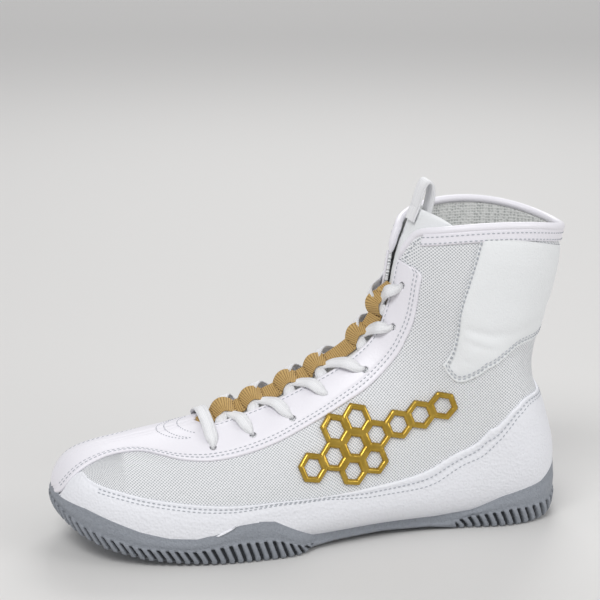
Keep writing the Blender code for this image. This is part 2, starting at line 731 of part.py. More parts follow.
def tongue_point(a, angle, depth):
    extra = max(0.0, a - last_section)
    drop = wall_thickness + 2.9 * fit_gap
    sink = (binding_radius + fit_gap - 0.5 * wall_thickness) * float(np.interp(a, [15.5, 18.5], [0.0, 1.0]))
    at = min(a, last_section)
    point = raised(np.array(at), np.array(angle), np.array(-(drop + sink + depth)))
    return point + lean * extra * tongue_rise


tongue_rows = []
for a in tongue_sections + [19.5, 20.0]:
    half = float(np.interp(a, [5.3, 6.0, 8.0, 16.0, 18.6, 20.0], [26.0, 38.0, 41.0, 44.0, 54.0, 54.0]))
    row = []
    for step in np.linspace(-1.0, 1.0, 9):
        angle = 180.0 + half * step
        droop = max(0.0, a - last_section) * (1.0 - 0.9 * step * step)
        row.append((min(a, last_section) + (droop if a > last_section else 0.0), angle))
    tongue_rows.append(row)
outer = []
inner = []
for row in tongue_rows:
    for a, angle in row:
        outer.append(tongue_point(a, angle, 0.0))
        inner.append(tongue_point(a, angle, tongue_thickness))
shell("tongue", outer, inner, net_faces(len(tongue_rows), 9), white_leather)

# Webbing down the throat, with raised loops for the laces.
tongue_drop = wall_thickness + 2.9 * fit_gap


def hump_reach(place):
    ends = surface(np.array([place - 0.05, place + 0.05]), np.array([180.0, 180.0]))
    spread = hump_spread[humps.index(place)]
    return spread * hump_half * 0.1 / float(np.linalg.norm(ends[1] - ends[0]))


def webbing_height(a):
    lift = 0.0
    for place in humps:
        reach = hump_reach(place)
        distance = abs(a - place) / reach
        if distance < 1.0:
            lift = max(lift, min(1.0, 1.5 * (1.0 - distance * distance)))
    return lift * webbing_hump


fine = np.linspace(5.85, 14.5, 200)
ridge = surface(fine, np.full_like(fine, 180.0))
ridge_run = np.concatenate([[0.0], np.cumsum(np.linalg.norm(np.diff(ridge, axis=0), axis=1))])
web_count = int(round(ridge_run[-1] / 0.0021)) + 1
web_sections = [float(a) for a in np.interp(np.linspace(0.0, ridge_run[-1], web_count), ridge_run, fine)]
points = []
for a in web_sections:
    base = -tongue_drop + fit_gap + 0.0003 + webbing_height(a)
    for height in (base, base + webbing_thickness):
        centre = raised(np.array(a), np.array(180.0), np.array(height))
        for sign in (-1.0, 1.0):
            points.append(centre + np.array([0.0, sign * webbing_width / 2.0, 0.0]))
faces = []
for k in range(len(web_sections) - 1):
    a = 4 * k
    b = a + 4
    faces += [[a, a + 1, b + 1, b], [a + 3, a + 2, b + 2, b + 3], [a + 2, a, b, b + 2], [a + 1, a + 3, b + 3, b + 1]]
faces.append([0, 2, 3, 1])
end = 4 * (len(web_sections) - 1)
faces.append([end + 1, end + 3, end + 2, end])
make_object("webbing", points, faces, gold_band)


# Laces: flat ribbons from an eyelet over the eyelet row, under a loop and down to the other side.
def ribbon(path, width_dir):
    points = []
    for k, centre in enumerate(path):
        before = path[max(k - 1, 0)]
        after = path[min(k + 1, len(path) - 1)]
        run = after - before
        run = run / np.linalg.norm(run)
        wide = width_dir - run * float(np.dot(width_dir, run))
        wide = wide / np.linalg.norm(wide)
        thick = np.cross(run, wide)
        for up in (-0.5, 0.5):
            for sign in (-0.5, 0.5):
                points.append(centre + wide * sign * lace_width + thick * up * lace_thickness)
    faces = []
    for k in range(len(path) - 1):
        a = 4 * k
        b = a + 4
        faces += [[a, a + 1, b + 1, b], [a + 3, a + 2, b + 2, b + 3], [a + 2, a, b, b + 2], [a + 1, a + 3, b + 3, b + 1]]
    faces.append([0, 2, 3, 1])
    end = 4 * (len(path) - 1)
    faces.append([end + 1, end + 3, end + 2, end])
    return points, faces


def lace_point(a, angle, side, height):
    return raised(np.array(a), np.array(side * angle), np.array(height))


over = fit_gap + overlay_thickness + 0.0005 + 0.5 * lace_thickness
cross_height = -tongue_drop + 0.0017 + 0.5 * lace_thickness


def crossing(index):
    low_a = eyelets[index][0]
    high_a, high_angle = eyelets[index + 1]
    place = humps[index]
    lift = lace_lift[index] / 1000.0
    ribbons = []
    for side in (1, -1):
        edge = float(throat_angle(np.array([0.5 * (place + high_a)]), side)[0])
        start = lace_point(high_a, high_angle + 3.0, side, over + 0.0002)
        second = lace_point(high_a - 0.2 * (high_a - place), 0.5 * (high_angle + edge), side, over + 0.0008 + lift)
        third = lace_point(high_a - 0.5 * (high_a - place), edge + 1.0 + 1000.0 * lift, side, over + 0.0010 + 1.4 * lift)
        middle = lace_point(place, 180.0, side, cross_height)
        direction = surface(np.array(place + 0.1), np.array(180.0)) - surface(np.array(place - 0.1), np.array(180.0))
        ridge_way = direction / np.linalg.norm(direction)
        along = middle - third
        beyond = middle + np.array([along[0] * 0.55, along[1] * 0.62, 0.0])
        fall = max(0.55, 0.9 * float(ridge_way[2] / ridge_way[0]))
        beyond[2] = middle[2] + (beyond[0] - middle[0]) * fall - 0.0006
        gate = (third - middle) * 0.4
        gate = middle + gate - (float(gate @ ridge_way) + 0.0018 * min(1.0, 4000.0 * lift)) * ridge_way
        path = [start, second, third, gate, middle, beyond]
        ribbons.append(ribbon(path, direction))
    return ribbons


def hide(cutter):
    cutter.hide_render = True
    cutter.display_type = "WIRE"


def combine(target, cutter, kind):
    step = target.modifiers.new(kind.lower(), "BOOLEAN")
    step.operation = kind
    step.solver = "EXACT"
    step.object = cutter
    bpy.context.view_layer.update()
    graph = bpy.context.evaluated_depsgraph_get()
    mesh = bpy.data.meshes.new_from_object(target.evaluated_get(graph))
    target.modifiers.remove(step)
    old = target.data
    target.data = mesh
    mesh.name = target.name
    bpy.data.meshes.remove(old)
    spare = cutter.data
    bpy.data.objects.remove(cutter, do_unlink=True)
    bpy.data.meshes.remove(spare)


for index in range(6):
    first, second = crossing(index)
    whole = make_object("lace_cross_" + str(index + 1), first[0], first[1], lace_white)
    other = make_object("lace_part", second[0], second[1], lace_white)
    combine(whole, other, "UNION")

first_a, first_angle = eyelets[0]
bar_path = []
for angle in (first_angle + 3.0, 156.0, 166.0, 174.0, 180.0, 186.0, 194.0, 204.0, 360.0 - first_angle - 3.0):
    rise = 0.0012 * math.sin(math.pi * (angle - first_angle) / (360.0 - 2.0 * first_angle))
    bar_path.append(raised(np.array(first_a), np.array(angle), np.array(over + 0.0002 + rise)))
points, faces = ribbon(bar_path, np.array([1.0, 0.0, 0.15]))
make_object("lace_bar", points, faces, lace_white)


# Eyelets: round holes through the panel and the shell.
def eyelet_pins(name):
    points = []
    faces = []
    count = 8
    for a, angle in eyelets:
        for side in (1, -1):
            centre = surface(np.array(a), np.array(side * angle))
            out = normal(np.array(a), np.array(side * angle))
            first = np.cross(out, np.array([0.0, 1.0, 0.0]))
            first = first / np.linalg.norm(first)
            second = np.cross(out, first)
            start = len(points)
            for reach in (-0.0032, 0.0032):
                for k in range(count):
                    turn = 2.0 * math.pi * (k + 0.5) / count
                    side_way = first * math.cos(turn) + second * math.sin(turn)
                    points.append(centre + out * reach + side_way * eyelet_diameter / 2.0)
            for k in range(count):
                n = (k + 1) % count
                faces.append([start + k, start + n, start + count + n, start + count + k])
            faces.append([start + k for k in reversed(range(count))])
            faces.append([start + count + k for k in range(count)])
    return make_object(name, points, faces, mesh_fabric)


combine(upper, eyelet_pins("pins_a"), "DIFFERENCE")
combine(eyestay, eyelet_pins("pins_b"), "DIFFERENCE")


# Pull loop at the top of the tongue.
def tongue_front(a, depth):
    return tongue_point(a, 180.0, depth)


low_front = tongue_front(19.4, -fit_gap - 0.5 * loop_thickness)
high_front = tongue_front(19.95, -fit_gap - 0.5 * loop_thickness)
back_depth = tongue_thickness + fit_gap + 0.5 * loop_thickness + loop_width ** 2 / 0.11
low_back = tongue_front(19.45, back_depth)
high_back = tongue_front(19.95, back_depth)
across = high_back - high_front
path = [low_front, high_front]
for turn in np.linspace(0.0, math.pi, 8):
    rise = lean * (loop_height - 0.006) * math.sin(turn) ** 0.7 + lean * 0.001
    path.append(high_front + across * (0.5 - 0.5 * math.cos(turn)) - across * 0.35 * math.sin(turn) + rise)
path += [high_back, low_back]
points = []
for k, centre in enumerate(path):
    run = path[min(k + 1, len(path) - 1)] - path[max(k - 1, 0)]
    run = run / np.linalg.norm(run)
    thick = np.cross(run, np.array([0.0, 1.0, 0.0]))
    for up in (-0.5, 0.5):
        for sign in (-0.5, 0.5):
            points.append(centre + np.array([0.0, sign * loop_width, 0.0]) + thick * up * loop_thickness)
faces = []
for k in range(len(path) - 1):
    a = 4 * k
    b = a + 4
    faces += [[a, a + 1, b + 1, b], [a + 3, a + 2, b + 2, b + 3], [a + 2, a, b, b + 2], [a + 1, a + 3, b + 3, b + 1]]
faces.append([0, 2, 3, 1])
end = 4 * (len(path) - 1)
faces.append([end + 1, end + 3, end + 2, end])
make_object("pull_loop", points, faces, white_leather)


# Honeycomb support on each side: windows show the mesh.
def surface_from_side(x, z, side):
    a = np.linspace(5.5, 17.5, 97)[:, None] * np.ones((1, 61))
    angle = side * np.linspace(40.0, 150.0, 61)[None, :] * np.ones((97, 1))
    net = surface(a, angle)
    away = (net[..., 0] - x) ** 2 + (net[..., 2] - z) ** 2
    spot = np.unravel_index(np.argmin(away), away.shape)
    here = np.array([a[spot], angle[spot]])
    for _ in range(8):
        point = surface(here[0], here[1])
        miss = np.array([point[0] - x, point[2] - z])
        step_a = (surface(here[0] + 0.01, here[1]) - point) / 0.01
        step_b = (surface(here[0], here[1] + 0.1) - point) / 0.1
        slopes = np.array([[step_a[0], step_b[0]], [step_a[2], step_b[2]]])
        here = here - np.linalg.lstsq(slopes, miss, rcond=None)[0]
    return here


tilt = math.radians(20.0)
run_way = np.array([math.cos(tilt), math.sin(tilt)])
rise_way = np.array([-math.sin(tilt), math.cos(tilt)])
cage_start = np.array([0.4755 * shoe_length, 0.475 * instep_height])
for side, name in ((1, "cage_outer"), (-1, "cage_inner")):
    outer = []
    inner = []
    faces = []
    for row, place in cage_cells:
        shift = 0.5 if row != 1 else 0.0
        centre = cage_start + run_way * math.sqrt(3.0) * hexagon_radius * (place + shift)
        centre = centre + rise_way * 1.5 * hexagon_radius * (row - 1)
        start = len(outer)
        for radius in (hexagon_radius, hexagon_radius - hexagon_bar / math.sqrt(3.0)):
            for k in range(6):
                turn = math.radians(60.0 * k + 30.0)
                flat = centre + radius * (run_way * math.cos(turn) + rise_way * math.sin(turn))
                a, angle = surface_from_side(flat[0] - shoe_length / 2.0, flat[1], side)
                outer.append(raised(np.array(a), np.array(angle), np.array(fit_gap + overlay_thickness)))
                inner.append(raised(np.array(a), np.array(angle), np.array(fit_gap)))
        for k in range(6):
            n = (k + 1) % 6
            face = [start + k, start + n, start + 6 + n, start + 6 + k]
            faces.append(face if side > 0 else face[::-1])
    shell(name, outer, inner, faces, gold_film)

# Stand the shoe on the ground plane, centred on its own box.
lowest = np.array([1e9, 1e9, 1e9])
highest = -lowest
for made in bpy.context.scene.objects:
    corners = np.array([list(vert.co) for vert in made.data.vertices])
    lowest = np.minimum(lowest, corners.min(axis=0))
    highest = np.maximum(highest, corners.max(axis=0))
shift = np.array([0.5 * (lowest[0] + highest[0]), 0.5 * (lowest[1] + highest[1]), lowest[2]])
for made in bpy.context.scene.objects:
    for vert in made.data.vertices:
        vert.co = (vert.co[0] - shift[0], vert.co[1] - shift[1], vert.co[2] - shift[2])
    made.data.update()
    print(made.name, len(made.data.polygons), "faces")
print("shift", [round(float(value), 6) for value in shift])
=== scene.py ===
import math

import bmesh
import bpy
import numpy as np
from mathutils import Matrix, Vector
from mathutils.kdtree import KDTree


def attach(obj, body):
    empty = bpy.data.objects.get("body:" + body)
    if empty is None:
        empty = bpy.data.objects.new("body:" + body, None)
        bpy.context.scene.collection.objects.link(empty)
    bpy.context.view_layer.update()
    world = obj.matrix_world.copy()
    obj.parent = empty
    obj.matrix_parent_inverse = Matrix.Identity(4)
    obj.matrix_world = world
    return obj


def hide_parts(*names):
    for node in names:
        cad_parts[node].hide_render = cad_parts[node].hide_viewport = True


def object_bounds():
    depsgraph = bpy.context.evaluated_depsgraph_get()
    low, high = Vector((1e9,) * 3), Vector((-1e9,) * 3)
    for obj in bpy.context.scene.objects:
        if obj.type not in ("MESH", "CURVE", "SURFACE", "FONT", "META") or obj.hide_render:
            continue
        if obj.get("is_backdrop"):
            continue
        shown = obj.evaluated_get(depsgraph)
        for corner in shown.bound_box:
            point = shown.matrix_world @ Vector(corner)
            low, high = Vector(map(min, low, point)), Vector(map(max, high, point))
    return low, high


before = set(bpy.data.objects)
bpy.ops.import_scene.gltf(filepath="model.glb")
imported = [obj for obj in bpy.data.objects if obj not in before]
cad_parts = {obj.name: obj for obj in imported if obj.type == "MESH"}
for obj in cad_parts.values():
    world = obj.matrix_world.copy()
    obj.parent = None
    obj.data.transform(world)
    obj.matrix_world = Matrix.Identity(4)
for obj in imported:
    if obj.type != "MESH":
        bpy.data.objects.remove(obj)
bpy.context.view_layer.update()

# Sizes of the shoe, metres, the same as the solids' own.
shoeLength = 0.286
ballWidth = 0.098
instepHeight = 0.099
collarHeight = 0.160
collarWidth = 0.074
toeSpring = 0.022
wallThickness = 0.0016
soleThickness = 0.005
heelThickness = 0.008
throatWidth = 0.022
fitGap = 0.0004
frameShift = np.array([0.000995, 0.0, 0.0])

# Sections of the last: underX, underZ, underY, topX, topZ, topY, halfOuter, halfInner,
# widest share, low roundness, top roundness, side lift.
frontSections = [
    (0.0105, 0.1065, 0.0816, 0.0105, 0.1065, 0.0816, 0.0000, 0.0000, 0.45, 2.20, 2.20, 0.0),
    (0.0192, 0.0311, 0.0816, 0.0192, 0.2129, 0.0816, 0.1531, 0.1429, 0.45, 2.40, 2.20, 0.0),
    (0.0455, 0.0238, 0.0714, 0.0455, 0.3471, 0.0765, 0.2755, 0.2551, 0.42, 2.60, 2.20, 0.0),
    (0.0909, 0.0137, 0.0510, 0.0909, 0.4531, 0.0663, 0.3724, 0.3367, 0.40, 2.80, 2.15, 0.0),
    (0.1573, 0.0099, 0.0306, 0.1573, 0.5352, 0.0561, 0.4388, 0.4031, 0.36, 3.00, 2.10, 0.0),
    (0.2378, 0.0113, 0.0102, 0.2378, 0.6022, 0.0459, 0.4745, 0.4490, 0.33, 3.00, 2.05, 0.0),
    (0.3252, 0.0152, 0.0000, 0.3252, 0.6717, 0.0357, 0.4898, 0.4643, 0.30, 3.00, 2.00, 0.0),
    (0.4231, 0.0253, 0.0000, 0.4126, 0.7576, 0.0255, 0.4745, 0.4286, 0.28, 2.90, 1.92, 0.0),
    (0.5280, 0.0404, 0.0000, 0.4860, 0.8535, 0.0204, 0.4337, 0.3776, 0.27, 2.80, 1.90, 0.0),
    (0.6399, 0.0505, 0.0000, 0.5420, 0.9394, 0.0153, 0.3929, 0.3469, 0.28, 2.85, 1.90, 0.0),
]
rearSections = [
    (0.7483, 0.0281, 0.0, 0.5839, 0.6312, 0.0135, 0.4932, 0.4595, 0.30, 2.95, 1.92, 0.0),
    (0.8497, 0.0250, 0.0, 0.6136, 0.6781, 0.0068, 0.4797, 0.4662, 0.35, 2.95, 1.95, 0.0),
    (0.9301, 0.0375, 0.0, 0.6311, 0.7219, 0.0, 0.4797, 0.4730, 0.39, 2.90, 2.00, 0.0),
    (0.9773, 0.1000, 0.0, 0.6416, 0.7656, 0.0, 0.4865, 0.4797, 0.44, 2.70, 2.00, 0.0),
    (0.9878, 0.2250, 0.0, 0.6503, 0.8125, 0.0, 0.4865, 0.4865, 0.48, 2.40, 2.00, 0.0063),
    (0.9700, 0.3750, 0.0, 0.6566, 0.8625, 0.0, 0.4865, 0.4865, 0.50, 2.15, 2.00, 0.0125),
    (0.9460, 0.5250, 0.0, 0.6608, 0.9094, 0.0, 0.4865, 0.4865, 0.50, 2.10, 2.00, 0.0230),
    (0.9600, 0.6900, 0.0, 0.6648, 0.9560, 0.0, 0.4932, 0.4932, 0.50, 2.10, 2.00, 0.0360),
    (0.9830, 0.8600, 0.0, 0.6708, 1.0000, 0.0, 0.5000, 0.5000, 0.50, 2.10, 2.05, 0.0440),
    (1.0000, 1.0300, 0.0, 0.6808, 1.0400, 0.0, 0.5000, 0.5000, 0.50, 2.10, 2.10, 0.0470),
]
springCurve = [
    (0.0, 1.0), (0.0105, 0.93), (0.0192, 0.86), (0.0455, 0.62), (0.0909, 0.37),
    (0.1573, 0.16), (0.2378, 0.04), (0.3252, 0.0), (1.0, 0.0),
]
archCurve = [
    (0.0, 0.0, 0.0), (0.455, 0.0, 0.0), (0.475, 1.6, 2.0), (0.52, 2.4, 4.0), (0.62, 2.6, 5.0),
    (0.72, 2.0, 4.0), (0.765, 0.6, 1.0), (0.78, 0.0, 0.0), (0.915, 0.0, 0.0), (0.955, 1.2, 1.2),
    (0.985, 3.6, 3.6), (1.0, 6.0, 6.0),
]
bedCurve = [(0.0, 0.0), (0.45, 0.0), (0.60, 0.45), (0.75, 0.8), (0.85, 1.0), (1.0, 1.0)]
rimCurve = [
    (0.0, 33.0, 33.0), (0.03, 32.0, 32.0), (0.06, 30.5, 30.5), (0.10, 26.0, 26.0), (0.15, 20.5, 21.0),
    (0.20, 17.0, 18.0), (0.25, 16.2, 17.5), (0.28, 18.5, 19.0), (0.31, 22.4, 21.3), (0.335, 23.8, 21.9),
    (0.36, 24.1, 22.0), (0.395, 22.9, 21.4), (0.43, 17.2, 18.0), (0.475, 10.0, 12.5), (0.52, 9.4, 11.0),
    (0.62, 9.2, 11.0), (0.72, 9.6, 11.0), (0.80, 12.0, 13.0), (0.86, 19.0, 19.0), (0.90, 21.5, 21.5),
    (0.94, 24.0, 24.0), (0.975, 31.0, 31.0), (1.0, 36.0, 36.0),
]
ribCurve = [
    (0.0, 7.5), (0.15, 7.0), (0.25, 8.0), (0.33, 12.0), (0.40, 11.5), (0.44, 7.0), (0.475, 3.0),
    (0.74, 3.0), (0.80, 7.5), (0.88, 10.5), (1.0, 10.0),
]
# Outlines on the surface: section number, angle round the section.
stripOuter = [
    (0.55, 92), (1.59, 128), (2.37, 147), (3.09, 157), (3.62, 160), (4.12, 158), (4.57, 150),
    (4.94, 143), (5.39, 138), (5.76, 136), (6.29, 135), (6.89, 135.5), (7.54, 137), (8.04, 138),
    (8.99, 140), (9.56, 141), (10.83, 144), (12.43, 145), (14.08, 142), (15.78, 139), (16.5, 138.5),
    (16.72, 143),
]
stripInner = [
    0.0, 0.5, 1.4, 2.2, 2.9, 3.5, 4.1, 4.6, 5.1, 5.46, 6.1, 6.8, 7.5, 8.1, 9.0, 9.6, 10.9, 12.45,
    14.1, 15.75, 16.55, 16.85,
]
randTop = [
    (1.0, 104), (1.70, 132), (2.28, 143), (2.5, 133), (2.75, 126.5), (3.1, 121.5), (3.6, 117.2),
    (4.15, 113.2), (4.69, 110), (5.26, 107), (5.99, 104), (6.86, 101.5), (7.64, 98), (8.41, 95.5),
    (9.19, 94), (9.68, 94), (10.2, 94.2), (10.78, 95), (11.45, 94.5), (12.3, 92.5), (12.98, 89),
    (13.48, 84.5), (14.12, 75), (14.78, 59.5), (15.3, 36), (15.72, 0),
]
randFoot = [
    0.9, 1.4, 1.9, 2.2, 2.55, 2.95, 3.45, 4.0, 4.6, 5.2, 5.95, 6.85, 7.65, 8.4, 9.15, 9.65, 10.4, 11.3,
    12.2, 13.0, 13.6, 13.9,
]
ankleLow = [
    (13.25, 121), (13.1, 116.5), (13.2, 111), (13.95, 100), (14.75, 88), (15.66, 70), (16.3, 51), (16.9, 10),
]
ankleHigh = [(18.6, angle) for angle in (103, 99.5, 96, 88, 76, 60, 44, 10)]
throatOpening = [
    (5.50, 0.0, 0.0), (5.62, 0.62, 0.62), (5.9, 0.95, 0.95), (7.0, 0.95, 0.95), (9.0, 0.85, 0.85),
    (11.0, 0.72, 0.72), (13.0, 0.66, 0.66), (15.0, 0.66, 0.62), (16.5, 0.74, 0.60), (17.6, 1.05, 0.64),
    (18.4, 1.35, 0.70), (19.0, 1.6, 0.80),
]
eyelets = [(5.69, 146), (6.54, 146), (7.46, 146), (8.51, 149), (9.98, 151), (12.70, 156), (15.40, 155)]
humps = [6.15, 6.78, 7.66, 8.60, 10.65, 13.2]


def linear(hexText):
    values = [int(hexText[i:i + 2], 16) / 255.0 for i in (1, 3, 5)]
    made = [v / 12.92 if v <= 0.04045 else ((v + 0.055) / 1.055) ** 2.4 for v in values]
    return (*made, 1.0)


# Links or sets inputs of a node.
def feed(tree, node, inputs):
    for name, value in inputs.items():
        if isinstance(value, bpy.types.NodeSocket):
            tree.links.new(value, node.inputs[name])
        else:
            node.inputs[name].default_value = value


# Adds a node with its settings and inputs, and gives one of its outputs.
def addNode(tree, kind, settings, inputs, output=0):
    node = tree.nodes.new("ShaderNode" + kind)
    for name, value in settings.items():
        setattr(node, name, value)
    feed(tree, node, inputs)
    return node.outputs[output]


def addObject(name, data):
    made = bpy.data.objects.new(name, data)
    bpy.context.scene.collection.objects.link(made)
    return made


def newMaterial(name, values):
    made = bpy.data.materials.new(name)
    made.use_nodes = True
    tree = made.node_tree
    shader = tree.nodes["Principled BSDF"]
    feed(tree, shader, values)
    return made, tree, shader


def blendTable(table, at, column=1):
    values = np.array(table, float)
    return np.interp(at, values[:, 0], values[:, column])


def spring(fromToe):
    return toeSpring * blendTable(springCurve, fromToe / shoeLength)


def buildSections():
    rows = []
    for group, height, width in (
        (frontSections, instepHeight, ballWidth),
        (rearSections, collarHeight, collarWidth),
    ):
        for row in group:
            underX = row[0] * shoeLength
            topX = row[3] * shoeLength
            low = [underX, row[1] * height + spring(underX), row[2] * width]
            high = [topX, row[4] * height + spring(topX), row[5] * width]
            shape = [row[6] * width, row[7] * width, row[8], row[9], row[10], row[11] * height]
            rows.append(low + high + shape)
    table = np.array(rows)
    mirrored = table[1].copy()
    mirrored[0:3] = table[1][3:6]
    mirrored[3:6] = table[1][0:3]
    mirrored[6:8] = -table[1][6:8]
    return np.vstack([mirrored, table, 2.0 * table[-1] - table[-2]])


sectionTable = buildSections()
lastSection = len(sectionTable) - 3.0


def sectionAt(a):
    a = np.clip(np.asarray(a, float), 0.0, lastSection)
    i = np.minimum(a.astype(int), int(lastSection) - 1)
    f = (a - i)[..., None]
    p0, p1, p2, p3 = sectionTable[i], sectionTable[i + 1], sectionTable[i + 2], sectionTable[i + 3]
    square = (2.0 * p0 - 5.0 * p1 + 4.0 * p2 - p3) * f ** 2
    cube = (3.0 * p1 - p0 - 3.0 * p2 + p3) * f ** 3
    return 0.5 * (2.0 * p1 + (p2 - p0) * f + square + cube)


def surface(a, angle):
    a, angle = np.broadcast_arrays(np.asarray(a, float), np.asarray(angle, float))
    turned = (angle + 180.0) % 360.0 - 180.0
    turned = np.where((turned == -180.0) & (angle > 0), 180.0, turned)
    row = sectionAt(a)
    size = np.abs(turned)
    low = size <= 90.0
    power = np.where(low, 2.0 / row[..., 9], 2.0 / row[..., 10])
    across = np.abs(np.sin(np.radians(size))) ** power
    along = np.abs(np.cos(np.radians(size))) ** power
    widest = row[..., 8]
    share = np.where(low, widest * (1.0 - along), widest + (1.0 - widest) * along)
    half = np.where(turned >= 0, -row[..., 6], row[..., 7])
    x = row[..., 0] + (row[..., 3] - row[..., 0]) * share - shoeLength / 2.0
    y = row[..., 2] + (row[..., 5] - row[..., 2]) * share + half * across
    z = row[..., 1] + (row[..., 4] - row[..., 1]) * share + row[..., 11] * across ** 2
    return np.stack([x, y, z], axis=-1)


def normal(a, angle):
    a, angle = np.broadcast_arrays(np.asarray(a, float), np.asarray(angle, float))
    along = surface(np.minimum(a + 0.04, lastSection), angle) - surface(np.maximum(a - 0.04, 0.0), angle)
    out = np.cross(along, surface(a, angle + 1.5) - surface(a, angle - 1.5))
    middle = 0.5 * (surface(a, np.zeros_like(a)) + surface(a, np.full_like(a, 180.0)))
    sign = np.sign(np.sum((surface(a, angle) - middle) * out, axis=-1))[..., None]
    out = out * np.where(sign == 0, 1.0, sign)
    length = np.linalg.norm(out, axis=-1)[..., None]
    tip = np.broadcast_to(np.array([-1.0, 0.0, 0.0]), out.shape)
    return np.where(a[..., None] < 0.02, tip, out / np.maximum(length, 1e-12))


def raised(a, angle, height):
    return surface(a, angle) + normal(a, angle) * np.asarray(height, float)[..., None]


def bedHeight(fromToe):
    thick = soleThickness + (heelThickness - soleThickness) * blendTable(bedCurve, fromToe / shoeLength)
    return spring(fromToe) + thick


def groundHeight(fromToe, side):
    return spring(fromToe) + 0.001 * blendTable(archCurve, fromToe / shoeLength, 1 if side > 0 else 2)


def rimHeight(fromToe, side):
    return 0.001 * blendTable(rimCurve, fromToe / shoeLength, 1 if side > 0 else 2)


# The angle at which test(point) turns positive on the way up the section, by halving.
def angleWhere(a, side, test):
    a = np.asarray(a, float)
    low = np.zeros_like(a)
    high = np.full_like(a, 180.0)
    start = test(surface(a, np.zeros_like(a)))
    for _ in range(36):
        middle = 0.5 * (low + high)
        above = test(surface(a, side * middle)) > 0
        high = np.where(above, middle, high)
        low = np.where(above, low, middle)
    return np.where(start > 0, 0.0, high)


def rimAngle(a, side, clear):
    def test(point):
        return point[..., 2] - rimHeight(point[..., 0] + shoeLength / 2.0, side) - clear
    return angleWhere(a, side, test)


def bedAngle(a, side, clear):
    def test(point):
        return point[..., 2] - bedHeight(point[..., 0] + shoeLength / 2.0) - clear
    return angleWhere(a, side, test)


def throatAngle(a, side, widen=0.0):
    a = np.asarray(a, float)
    width = 0.5 * throatWidth * blendTable(throatOpening, a, 1 if side > 0 else 2) + widen
    low = np.full_like(a, 100.0)
    high = np.full_like(a, 180.0)
    top = surface(a, np.full_like(a, 180.0))
    for _ in range(36):
        middle = 0.5 * (low + high)
        wide = np.abs(surface(a, side * middle)[..., 1] - top[..., 1]) > width
        low = np.where(wide, middle, low)
        high = np.where(wide, high, middle)
    return np.where(a <= throatOpening[0][0], 180.0, 0.5 * (low + high))


# Catmull-Rom line through points, read at shares from 0 to 1.
def smoothAt(points, shares):
    points = np.array(points, float)
    if points.ndim == 1:
        points = points[:, None]
    padded = np.vstack([2 * points[0] - points[1], points, 2 * points[-1] - points[-2]])
    at = np.clip(np.asarray(shares, float), 0.0, 1.0) * (len(points) - 1.0)
    i = np.minimum(at.astype(int), len(points) - 2)
    f = (at - i)[..., None]
    p0, p1, p2, p3 = padded[i], padded[i + 1], padded[i + 2], padded[i + 3]
    square = (2 * p0 - 5 * p1 + 4 * p2 - p3) * f ** 2
    cube = (3 * p1 - p0 - 3 * p2 + p3) * f ** 3
    return 0.5 * (2 * p1 + (p2 - p0) * f + square + cube)


def arcLengths(points):
    steps = np.linalg.norm(np.diff(points, axis=0), axis=1)
    return np.concatenate([[0.0], np.cumsum(steps)])


# Reads a line of points at lengths along it.
def readLine(at, run, points):
    return np.stack([np.interp(at, run, points[:, k]) for k in range(points.shape[1])], axis=-1)


def unit(vectors):
    return vectors / np.linalg.norm(vectors, axis=-1, keepdims=True)


# Evens out the values along a line and keeps its two ends.
def soften(values, times):
    for _ in range(times):
        values[1:-1] = 0.25 * values[:-2] + 0.5 * values[1:-1] + 0.25 * values[2:]


# Adds a grid to a mesh and lays it by mapping(p, q) -> points, uv in metres.
def layGrid(bm, countP, countQ, mapping, flip=False):
    uvLayer = bm.loops.layers.uv.verify()
    made = bmesh.ops.create_grid(bm, x_segments=countP, y_segments=countQ, size=1.0)
    verts = made["verts"]
    flat = np.array([vert.co[:] for vert in verts])
    p = flat[:, 0] * 0.5 + 0.5
    q = flat[:, 1] * 0.5 + 0.5
    points, uv = mapping(p, q)
    places = {}
    for vert, point, spot in zip(verts, points, uv):
        vert.co = point - frameShift
        places[vert] = spot
    faces = {face for vert in verts for face in vert.link_faces}
    for face in faces:
        for loop in face.loops:
            loop[uvLayer].uv = places[loop.vert]
    if flip:
        bmesh.ops.reverse_faces(bm, faces=list(faces))
    return verts


# Turns a mesh in the making into a piece: material, wall, and what the fit needs to know about it.
def finishPiece(name, bm, material, nodes, weld=0.00002, thickness=0.0):
    if weld:
        bmesh.ops.remove_doubles(bm, verts=bm.verts, dist=weld)
    mesh = bpy.data.meshes.new(name)
    bm.to_mesh(mesh)
    bm.free()
    piece = addObject(name, mesh)
    for one in material if isinstance(material, (list, tuple)) else [material]:
        mesh.materials.append(one)
    for polygon in mesh.polygons:
        polygon.use_smooth = True
    if thickness:
        solid = piece.modifiers.new("wall", "SOLIDIFY")
        solid.thickness = thickness
        solid.offset = -1.0
        solid.use_even_offset = False
    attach(piece, "root")
    if nodes:
        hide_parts(*nodes)
    return piece


smoothStep = {"interpolation_type": "SMOOTHSTEP"}
colourMix = {"data_type": "RGBA"}


